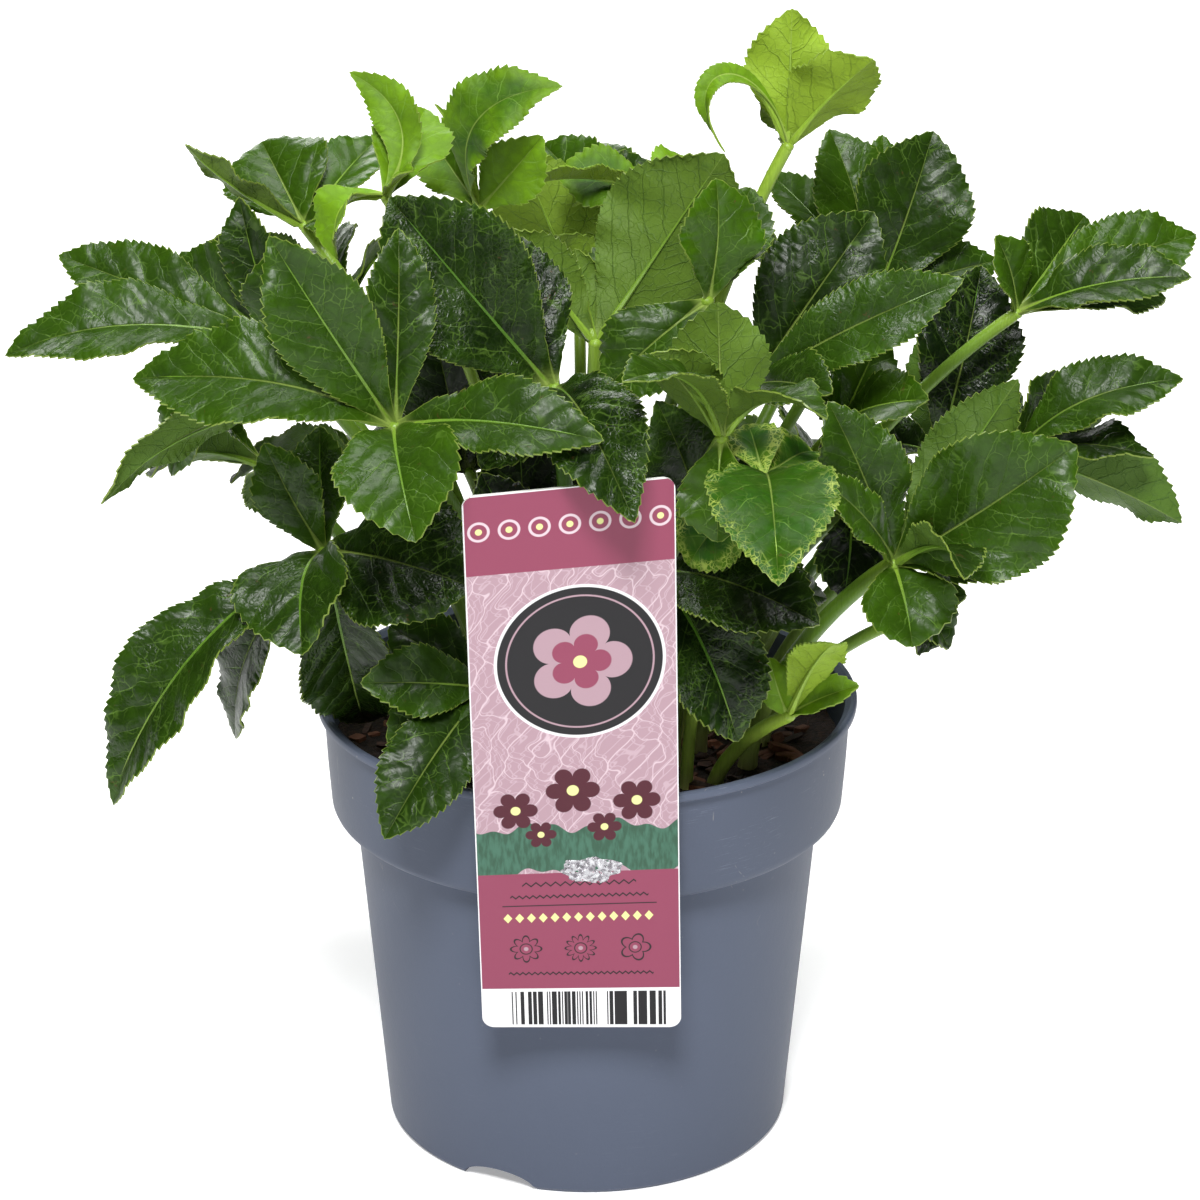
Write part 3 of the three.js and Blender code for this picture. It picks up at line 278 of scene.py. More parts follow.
# ------------------------------------------------------------------ finishes
@dataclass(frozen=True)
class Crown:
    """The space that the leaves fill, an ellipsoid within which shade is painted; mm."""

    middle: Triple = (0.0, 14.0, 158.0)
    squared: Triple = (9000.0, 4400.0, 5200.0)  # squares of its half widths

    def depth(self, g: Graph) -> Value:
        """How deep inside the crown a place lies, 0 outside to 1 within; painted shade darkens leaves and
        stalks there.

        Args:
            g: graph of the material.

        Returns:
            The depth.
        """
        x, y, z = (part - m for part, m in zip(g.parts(g.place()), self.middle))
        wide, deep, high = self.squared
        away = (x * x / wide + y * y / deep + z * z / high) ** 0.5
        return 1.0 - away.rise(0.5, 1.05)


@dataclass(frozen=True)
class VeinPattern:
    """What a leaflet is painted and shaped with: masks of its veins, relief and its own numbers."""

    rib: Value
    side: Value
    net: Value
    fine: Value
    open: Value  # where the veins stand out
    bulge: Value  # relief between the veins
    swell: Value
    wrinkle: Value
    pebble: Value
    old: Value
    rough: Value
    edge: Value  # millimetres from the margin
    along: Value  # 0 at the stalk, 1 at the tip
    age: Value
    tone: Value
    drift: Value
    spot: Value  # coordinates on the blade
    # painted shade: how deep inside the crown the place lies
    deep: Value


@dataclass(frozen=True)
class LeafVeins:
    """Vein pattern that both sides of a leaflet share, in millimetres."""

    spacing: float = 7.2
    slant: float = 0.95
    curl: float = 0.018
    left_shift: float = 3.0
    net: float = 0.33
    fine_net: float = 0.85

    def draw(self, g: Graph) -> VeinPattern:
        """Works out the veins.

        Args:
            g: graph of the material.

        Returns:
            The pattern.
        """
        along, age, tone, edge = (g.attribute(name) for name in ("along", "age", "tone", "edge"))
        seed = g.attribute("seed")
        layer = seed * 40.0
        across, up, _ = g.parts(g.map("blade_mm"))
        apart = abs(across)
        spot = g.vector(across, up, layer)
        drift = g.noise(spot, 0.13) - 0.5
        jog = g.noise(spot, 0.45) - 0.5
        course = up - apart * self.slant - apart * apart * self.curl + drift * 5.0 + jog * 1.3
        course = course / self.spacing
        course = course + across.below(0.0) * (self.left_shift / self.spacing) + seed
        to_side = (0.5 - abs(course.fraction() - 0.5)) * (self.spacing * 0.7)
        bent = up + drift * 4.0
        net = g.cells(g.vector(across + jog * 2.4, bent - jog * 1.6, layer), self.net)
        fine = g.cells(g.vector(across + jog * 1.2, bent, layer), self.fine_net)
        width = (1.0 - along) * 0.45 + 0.1 + (1.0 - along.rise(0.0, 0.26)) * 0.6
        old = 1.0 - age.rise(0.04, 0.3)
        rough = (g.noise(spot, 0.07).rise(0.38, 0.6) * 0.8 + 0.2) * old * (tone * 0.5 + 0.5)
        quilted = g.noise(spot, 0.11).rise(0.5, 0.62)
        inner = edge.rise(0.2, 3.5)
        return VeinPattern(
            rib=(1.0 - (apart / width).rise(0.5, 1.0)) * (1.0 - along.rise(0.3, 1.0) * 0.7),
            side=(1.0 - to_side.rise(0.04, 0.2)) * apart.rise(0.1, 0.6) * (inner * 0.7 + 0.3),
            net=1.0 - net.rise(0.0, 0.065),
            fine=1.0 - fine.rise(0.0, 0.11),
            open=g.noise(spot, 0.21).rise(0.4, 0.62),
            bulge=net.rise(0.0, 0.34),
            swell=to_side.rise(0.0, 2.2),
            wrinkle=g.noise(g.vector(course * (self.spacing * 0.4), apart * 0.3, layer), 1.0),
            pebble=fine.rise(0.0, 0.3) * (rough * 0.7 + quilted * (1.0 - age) * 0.35),
            old=old,
            rough=rough,
            edge=edge,
            along=along,
            age=age,
            tone=tone,
            drift=drift,
            spot=spot,
            deep=Crown().depth(g),
        )


@dataclass(frozen=True)
class LeafUpper:
    """Glossy upper side of a leaf, from old dark green to young lime."""

    veins: LeafVeins = LeafVeins()
    greens: tuple = (
        (0.0, paint(7, 20, 3)),
        (0.3, paint(37, 62, 8)),
        (0.6, paint(50, 80, 7)),
        (0.8, paint(32, 76, 0)),
        (1.0, paint(94, 132, 14)),
    )
    vein: tuple = paint(116, 154, 62)
    base: tuple = paint(150, 172, 84)
    margin: tuple = paint(140, 160, 70)
    fleck: tuple = paint(190, 204, 96)
    speck: tuple = paint(74, 52, 30)
    inner_shade: float = 0.74
    ior: float = 1.28

    def make(self) -> bpy.types.Material:
        """Makes the material.

        Returns:
            The material.
        """
        g = Graph("leaf_upper")
        v = self.veins.draw(g)
        grain = g.noise(v.spot, 1.6, 3.0)
        colour, relief = self.colour(g, v, grain), self.relief(v, grain)
        return g.finish(colour, self.roughness(g, v), relief, {"IOR": self.ior})

    def colour(self, g: Graph, v: VeinPattern, grain: Value) -> Value:
        """Green by age, with veins, pale flecks, a fine hem, a few blemishes and painted shade inside the
        crown.

        Args:
            g: graph of the material.
            v: the leaflet's pattern.
            grain: fine noise.

        Returns:
            The colour.
        """
        near_margin = 1.0 - v.edge.rise(0.0, 5.0)
        shade = v.age + (v.tone - 0.5) * 0.18 + v.drift * 0.3 + near_margin * 0.1
        green = g.ramp(shade.most(0.0).least(1.0), self.greens)
        green = g.times(green, (v.tone - 0.5) * 0.3 + v.bulge * 0.2 + grain * 0.3 + 0.7)
        lines = v.side * (v.open * 0.8 + 0.2) * (v.age * 0.16 + 0.22)
        lines = lines + v.net * v.open * 0.2 + v.fine * v.rough * 0.08
        green = g.mix(lines.least(0.5), green, self.vein)
        flecked = v.age.rise(0.72, 0.78) * (1.0 - v.age.rise(0.9, 0.93)) * (1.0 - v.edge.rise(0.5, 4.6))
        fleck = (v.fine + v.net) * flecked * (v.open * 0.7 + 0.3)
        green = g.mix(fleck.least(0.45), green, self.fleck)
        green = g.mix(v.rib * (v.age * 0.2 + 0.42), green, self.base)
        green = g.mix((1.0 - v.along.rise(0.0, 0.12)) * 0.7, green, self.base)
        hem = 1.0 - v.edge.rise(0.04, 0.24)
        green = g.mix(hem * 0.5, green, self.margin)
        blemish = g.noise(v.spot, 0.35, 3.0).rise(0.68, 0.73) * g.noise(v.spot, 1.7).rise(0.5, 0.6)
        green = g.mix(blemish * 0.5, green, self.speck)
        # painted shade: darker deep inside the crown
        return g.times(green, 1.0 - v.deep * self.inner_shade)

    def roughness(self, g: Graph, v: VeinPattern) -> Value:
        """Roughness: old leaves are the glossiest."""
        return v.age.rise(0.5, 0.95) * 0.22 + g.noise(v.spot, 0.9) * 0.16 - v.old * 0.03 + 0.27

    def relief(self, v: VeinPattern, grain: Value) -> Value:
        """Relief in millimetres: sunk veins, swellings between them and a pebbled skin.

        Args:
            v: the leaflet's pattern.
            grain: fine noise.

        Returns:
            The height.
        """
        height = v.bulge * 0.05 + v.swell * 0.2 + v.wrinkle * (v.rough * 0.3 + 0.03)
        height = height - v.rib * 0.1 - v.side * 0.06
        return height * (1.2 - v.age * 0.6) + v.pebble * 0.13 + grain * 0.02


@dataclass(frozen=True)
class LeafUnder:
    """Satin paler underside of a leaf, with its veins raised and darker."""

    veins: LeafVeins = LeafVeins()
    old: tuple = paint(66, 93, 30)
    young: tuple = paint(124, 152, 40)
    vein_old: tuple = paint(54, 82, 32)
    rib: tuple = paint(138, 160, 80)
    inner_shade: float = 0.72
    ior: float = 1.25

    def make(self) -> bpy.types.Material:
        """Makes the material.

        Returns:
            The material.
        """
        g = Graph("leaf_under")
        v = self.veins.draw(g)
        ground = g.mix(v.age * v.age, self.old, self.young)
        grain = g.noise(v.spot, 1.6, 3.0)
        ground = g.times(ground, v.tone * 0.22 + v.drift * 0.4 + grain * 0.2 + 0.8)
        lines = v.net * (v.open * 0.3 + 0.2) + v.side * 0.5 + v.fine * (v.open * 0.22 + 0.06)
        ground = g.mix(lines.least(0.7) * (1.0 - v.age * 0.7), ground, self.vein_old)
        ground = g.mix(v.rib * 0.7, ground, self.rib)
        ground = g.mix((1.0 - v.along.rise(0.0, 0.14)) * 0.6, ground, self.rib)
        ground = g.times(ground, 1.0 - v.deep * self.inner_shade)
        height = v.net * 0.08 + v.side * 0.16 + v.fine * 0.03 + v.rib * 0.2 + v.wrinkle * 0.07
        return g.finish(ground, grain * 0.16 + 0.46, height, {"IOR": self.ior})


@dataclass(frozen=True)
class StalkFinish:
    """Juicy green stalks and ribs with fine streaks along them, paler at the soil."""

    low: tuple = paint(150, 166, 92)
    high: tuple = paint(68, 104, 30)
    young: tuple = paint(142, 172, 56)
    foot: tuple = paint(170, 156, 112)
    soil: float = 104.0  # height where the stalks start, mm
    inner_shade: float = 0.35
    ior: float = 1.36

    def make(self) -> bpy.types.Material:
        """Makes the material.

        Returns:
            The material.
        """
        g = Graph("stalk")
        place = g.place()
        x, y, z = g.parts(place)
        green = g.mix(z.rise(self.soil, self.soil + 46.0, soft=False), self.low, self.high)
        green = g.mix(g.attribute("age") * 0.7, green, self.young)
        green = g.mix(g.attribute("pale") * 0.5, green, self.young)
        green = g.mix((1.0 - z.rise(self.soil, self.soil + 10.0)) * 0.6, green, self.foot)
        streak = g.noise(g.vector(x * 2.2, y * 2.2, z * 0.12), 1.0, 3.0)
        green = g.times(green, streak * 0.6 + g.noise(place, 0.08) * 0.3 + 0.58)
        green = g.times(green, 1.0 - Crown().depth(g) * self.inner_shade)
        return g.finish(green, streak * 0.2 + 0.24, streak * 0.12, {"IOR": self.ior})


@dataclass(frozen=True)
class PotPlastic:
    """Blue-grey moulded plastic with a satin skin, light handling marks and painted shade on its collar."""

    base: tuple = paint(80, 87, 103)
    pale: tuple = paint(132, 138, 152)
    dust: tuple = paint(170, 166, 156)
    ior: float = 1.24

    def make(self) -> bpy.types.Material:
        """Makes the material.

        Returns:
            The material.
        """
        g = Graph("pot_plastic")
        place = g.place()
        x, y, z = g.parts(place)
        cloud = g.noise(place, 0.018, 3.0)
        grain = g.noise(place, 1.4, 3.0)
        scuff = g.noise(g.vector(x * 0.16, y * 0.16, z * 3.4), 1.0, 5.0, 0.7).rise(0.58, 0.66)
        scuff = scuff * g.noise(place, 0.05).rise(0.46, 0.62) * (z.rise(80.0, 116.0) * 0.85 + 0.15)
        speck = 1.0 - g.cells(place, 0.3, Cells.SEEDS).rise(0.0, 0.12)
        speck = speck * g.noise(place, 0.12).rise(0.56, 0.62) * (z.rise(70.0, 110.0) * 0.8 + 0.2)
        curl = (g.noise(place, 0.06) - 0.5) * 9.0
        lines = g.cells(g.vector(x + curl, y + curl, z * 0.5), 0.06)
        scratch = 1.0 - lines.rise(0.0, 0.008)
        scratch = scratch * g.noise(place, 0.19).rise(0.62, 0.68) * z.rise(60.0, 100.0)
        # painted shade: the collar wall from about 90 mm up, which faces a little downwards, is darker; the
        # rolled lip from about 115 mm is lighter again, a faint painted highlight
        collar = z.rise(87.0, 92.0) * 0.1 - z.rise(114.0, 117.0) * 0.12
        colour = g.times(self.base, cloud * 0.12 + grain * 0.06 - collar + 0.93)
        colour = g.mix(scuff * 0.5, colour, self.pale)
        colour = g.mix(scratch * 0.35, colour, self.dust)
        colour = g.mix(speck * 0.7, colour, self.dust)
        roughness = cloud * 0.08 + grain * 0.08 + scuff * 0.12 + 0.42
        height = grain * 0.03 + g.noise(place, 0.25) * 0.05
        return g.finish(colour, roughness, height, {"IOR": self.ior})


@dataclass(frozen=True)
class Peat:
    """Nearly black peat, with bits a little paler."""

    dark: tuple = paint(20, 15, 12)
    brown: tuple = paint(54, 38, 28)

    def make(self) -> bpy.types.Material:
        """Makes the material.

        Returns:
            The material.
        """
        g = Graph("potting_soil")
        place = g.place()
        crumb = g.noise(place, 0.7, 5.0, 0.7)
        grains = g.cells(place, 0.8, Cells.SEEDS)
        colour = g.mix(crumb.rise(0.35, 0.75), self.dark, self.brown)
        colour = g.times(colour, 1.2 - grains * 0.5)
        return g.finish(colour, 0.95, crumb * 1.2 - grains * 0.6, {"IOR": 1.35})


@dataclass(frozen=True)
class Bark:
    """Reddish brown wood chips, each of its own tone."""

    dark: tuple = paint(32, 21, 16)
    red: tuple = paint(98, 58, 38)

    def make(self) -> bpy.types.Material:
        """Makes the material.

        Returns:
            The material.
        """
        g = Graph("bark_chips")
        x, y, z = g.parts(g.place())
        fibre = g.noise(g.vector(x * 0.5, y * 1.8, z * 2.6), 1.0, 4.0)
        colour = g.mix((g.attribute("tone") + (fibre - 0.5) * 0.7).most(0.0), self.dark, self.red)
        return g.finish(colour, 0.85, fibre * 0.3, {"IOR": 1.4})


# ------------------------------------------------------------------ modelling helpers
def alone(thing: bpy.types.Object | None = None) -> None:
    """Deselects everything, then selects one object and makes it active.

    Args:
        thing: the object to work on, if any.
    """
    if bpy.context.object and bpy.context.object.mode != "OBJECT":
        bpy.ops.object.mode_set(mode="OBJECT")
    bpy.ops.object.select_all(action="DESELECT")
    if thing is not None:
        thing.select_set(True)
        bpy.context.view_layer.objects.active = thing


def primitive(add: Callable, name: str, **sizes: object) -> bpy.types.Object:
    """Adds a primitive by itself.

    Args:
        add: the operator.
        name: name of the new object.
        sizes: the operator's own arguments.

    Returns:
        The new object, selected.
    """
    alone()
    add(**sizes)
    made = bpy.context.object
    made.name = made.data.name = name
    return made


def grid(name: str, columns: int, rows: int) -> bpy.types.Object:
    """A flat grid with so many points across and along."""
    add = bpy.ops.mesh.primitive_grid_add
    return primitive(add, name, x_subdivisions=columns - 1, y_subdivisions=rows - 1, size=MM)


def shape(thing: bpy.types.Object, points: np.ndarray) -> None:
    """Moves every point of a mesh to its place, given in millimetres."""
    thing.data.vertices.foreach_set("co", (points * MM).astype(np.float32).ravel())
    thing.data.update()


def points_of(thing: bpy.types.Object) -> np.ndarray:
    """Points of a mesh, in millimetres.

    Args:
        thing: the mesh object.

    Returns:
        The points, one a row.
    """
    raw = np.empty(len(thing.data.vertices) * 3)
    thing.data.vertices.foreach_get("co", raw)
    return raw.reshape(-1, 3) / MM


def keep(thing: bpy.types.Object, name: str, values: np.ndarray) -> None:
    """Keeps one number for each point of a mesh."""
    store = thing.data.attributes.get(name) or thing.data.attributes.new(name, "FLOAT", "POINT")
    store.data.foreach_set("value", np.asarray(values, np.float32).ravel())


def lay_map(thing: bpy.types.Object, name: str, points: np.ndarray) -> None:
    """Lays a UV map whose values are given for each point of the mesh.

    Args:
        thing: the mesh object.
        name: name of the map.
        points: the values.
    """
    mesh = thing.data
    while mesh.uv_layers:
        mesh.uv_layers.remove(mesh.uv_layers[0])
    layer = mesh.uv_layers.new(name=name)
    corners = np.empty(len(mesh.loops), np.int32)
    mesh.loops.foreach_get("vertex_index", corners)
    layer.data.foreach_set("uv", points[corners].astype(np.float32).ravel())


def freeze(thing: bpy.types.Object) -> None:
    """Applies an object's place, turn and size to its mesh."""
    alone(thing)
    bpy.ops.object.transform_apply(location=True, rotation=True, scale=True)


def apply(thing: bpy.types.Object, kind: str, **settings: object) -> None:
    """Adds a modifier and applies it.

    Args:
        thing: the mesh object.
        kind: the modifier's type.
        settings: the modifier's settings.
    """
    alone(thing)
    modifier = thing.modifiers.new(kind.lower(), kind)
    for key, value in settings.items():
        setattr(modifier, key, value)
    bpy.ops.object.modifier_apply(modifier=modifier.name)


def thicken(
    sheet: bpy.types.Object, thick: float, sides: dict[Side, bpy.types.Material], **settings: object
) -> None:
    """Gives a sheet its thickness, half to each side, and a material on either side.

    Args:
        sheet: the mesh object.
        thick: its thickness, mm.
        sides: the materials.
        settings: more settings of the modifier.
    """
    for side in Side:
        sheet.data.materials.append(sides[side])
    half = {"thickness": thick * MM, "offset": 0.0, "material_offset": Side.BACK.value}
    apply(sheet, "SOLIDIFY", **half, **settings)


def weld(thing: bpy.types.Object, outward: bool = False, reach: float = 0.01) -> None:
    """Merges points that lie together, and turns the faces outwards if asked.

    Args:
        thing: the mesh object.
        outward: whether faces are turned.
        reach: how near points have to be, mm.
    """
    alone(thing)
    bpy.ops.object.mode_set(mode="EDIT")
    bpy.ops.mesh.select_all(action="SELECT")
    bpy.ops.mesh.remove_doubles(threshold=reach * MM)
    if outward:
        bpy.ops.mesh.normals_make_consistent(inside=False)
    bpy.ops.object.mode_set(mode="OBJECT")


def join(parts: Sequence[bpy.types.Object], name: str) -> bpy.types.Object:
    """Joins meshes into one object.

    Args:
        parts: the meshes; the first keeps its material slots in front.
        name: name of the whole.

    Returns:
        The joined object.
    """
    alone(parts[0])
    for part in parts[1:]:
        part.select_set(True)
    if len(parts) > 1:
        bpy.ops.object.join()
    whole = bpy.context.object
    whole.name = whole.data.name = name
    return whole


def finished(
    thing: bpy.types.Object, materials: Sequence[bpy.types.Material], smooth: float = 35.0
) -> bpy.types.Object:
    """Smooths a piece, gives it its materials and lets it ride on the plant's one body.

    Args:
        thing: the piece.
        materials: materials that it doesn't have yet, by slot.
        smooth: sharpest smoothed angle, degrees.

    Returns:
        The same piece.
    """
    alone(thing)
    bpy.ops.object.shade_smooth_by_angle(angle=math.radians(smooth))
    for material in materials:
        thing.data.materials.append(material)
    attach(thing, "root")
    return thing


def unit(vectors: np.ndarray) -> np.ndarray:
    """Vectors made one long."""
    return vectors / np.linalg.norm(vectors, axis=-1, keepdims=True)


def bezier(guides: Sequence[np.ndarray], t: np.ndarray) -> tuple[np.ndarray, np.ndarray]:
    """Points and directions of a cubic curve.

    Args:
        guides: its four guide points.
        t: places along it, 0 to 1.

    Returns:
        The points, and unit vectors along the curve.
    """
    a, b, c, d = guides
    t = t[:, None]
    s = 1 - t
    points = s**3 * a + 3 * s**2 * t * b + 3 * s * t**2 * c + t**3 * d
    ways = s**2 * (b - a) + 2 * s * t * (c - b) + t**2 * (d - c)
    return points, unit(ways)


def tube(
    name: str, centre: np.ndarray, first: np.ndarray, second: np.ndarray, radius: np.ndarray, sides: int
) -> bpy.types.Object:
    """Rolls a grid into a tube with closed ends.

    Args:
        name: name of the object.
        centre: points along the middle, mm.
        first: unit vectors across the tube, one a point.
        second: the other unit vectors across.
        radius: radius at each point, mm; nought closes an end.
        sides: faces round the tube.

    Returns:
        The tube.
    """
    rows = len(centre)
    turn = np.linspace(0, TURN, sides + 1)
    turn[-1] = 0.0
    ring = np.cos(turn)[None, :, None] * first[:, None] + np.sin(turn)[None, :, None] * second[:, None]
    made = grid(name, sides + 1, rows)
    shape(made, (centre[:, None] + ring * radius[:, None, None]).reshape(-1, 3))
    weld(made, outward=True, reach=0.001)
    return made

# ------------------------------------------------------------------ leaves
@dataclass(frozen=True)
class FrontView:
    """Where the front leaves are laid out from: millimetres, radians and view units."""

    y: float = -940.8
    z: float = 515.3
    pitch: float = 0.376
    focal: float = 3922.0
    middle: Pair = (585.6, 600.0)
    frame: float = 1200.0

    def eye(self) -> np.ndarray:
        """The point that the leaves are seen from."""
        return np.array([0.0, self.y, self.z])

    def place(self, seen: Triple) -> np.ndarray:
        """Point in millimetres of a place in the view and its depth.

        Args:
            seen: across and down in the view, then the y of the point.

        Returns:
            The point.
        """
        ahead = np.array([0, math.cos(self.pitch), -math.sin(self.pitch)])
        upward = np.array([0, math.sin(self.pitch), math.cos(self.pitch)])
        right = np.array([1.0, 0, 0])
        way = ahead * self.focal + right * (seen[0] - self.middle[0]) + upward * (self.middle[1] - seen[1])
        return self.eye() + way * (seen[2] - self.y) / way[1]

    def off_line(self, points: np.ndarray, through: np.ndarray) -> np.ndarray:
        """How far points lie from the line of sight through another point."""
        way = unit(through - self.eye())
        return np.linalg.norm(np.cross(points - self.eye(), way), axis=-1)


@dataclass(frozen=True)
class Leaflet:
    """One leaflet: where its tip is, how broad it is and how it arches.

    bow is how far it arches towards its face at one and two thirds of its length, per
    length; via gives the two guide points instead. sweep is a sideways curve, and twist a
    turn towards the tip in radians.
    """

    tip: Triple
    width: float
    bow: Pair = (0.1, 0.1)
    via: tuple[Triple, Triple] | None = None
    face: Triple | None = None
    sweep: float = 0.0
    twist: float = 0.0


@dataclass(frozen=True)
class Leaf:
    """A leaf: its hub, the way its upper side looks, stalk radius, age and leaflets.

    The age runs from 0, old and dark, to 1, young and lime.
    """

    name: str
    hub: Triple
    face: Triple
    stalk: float
    age: float
    leaflets: tuple[Leaflet, ...]


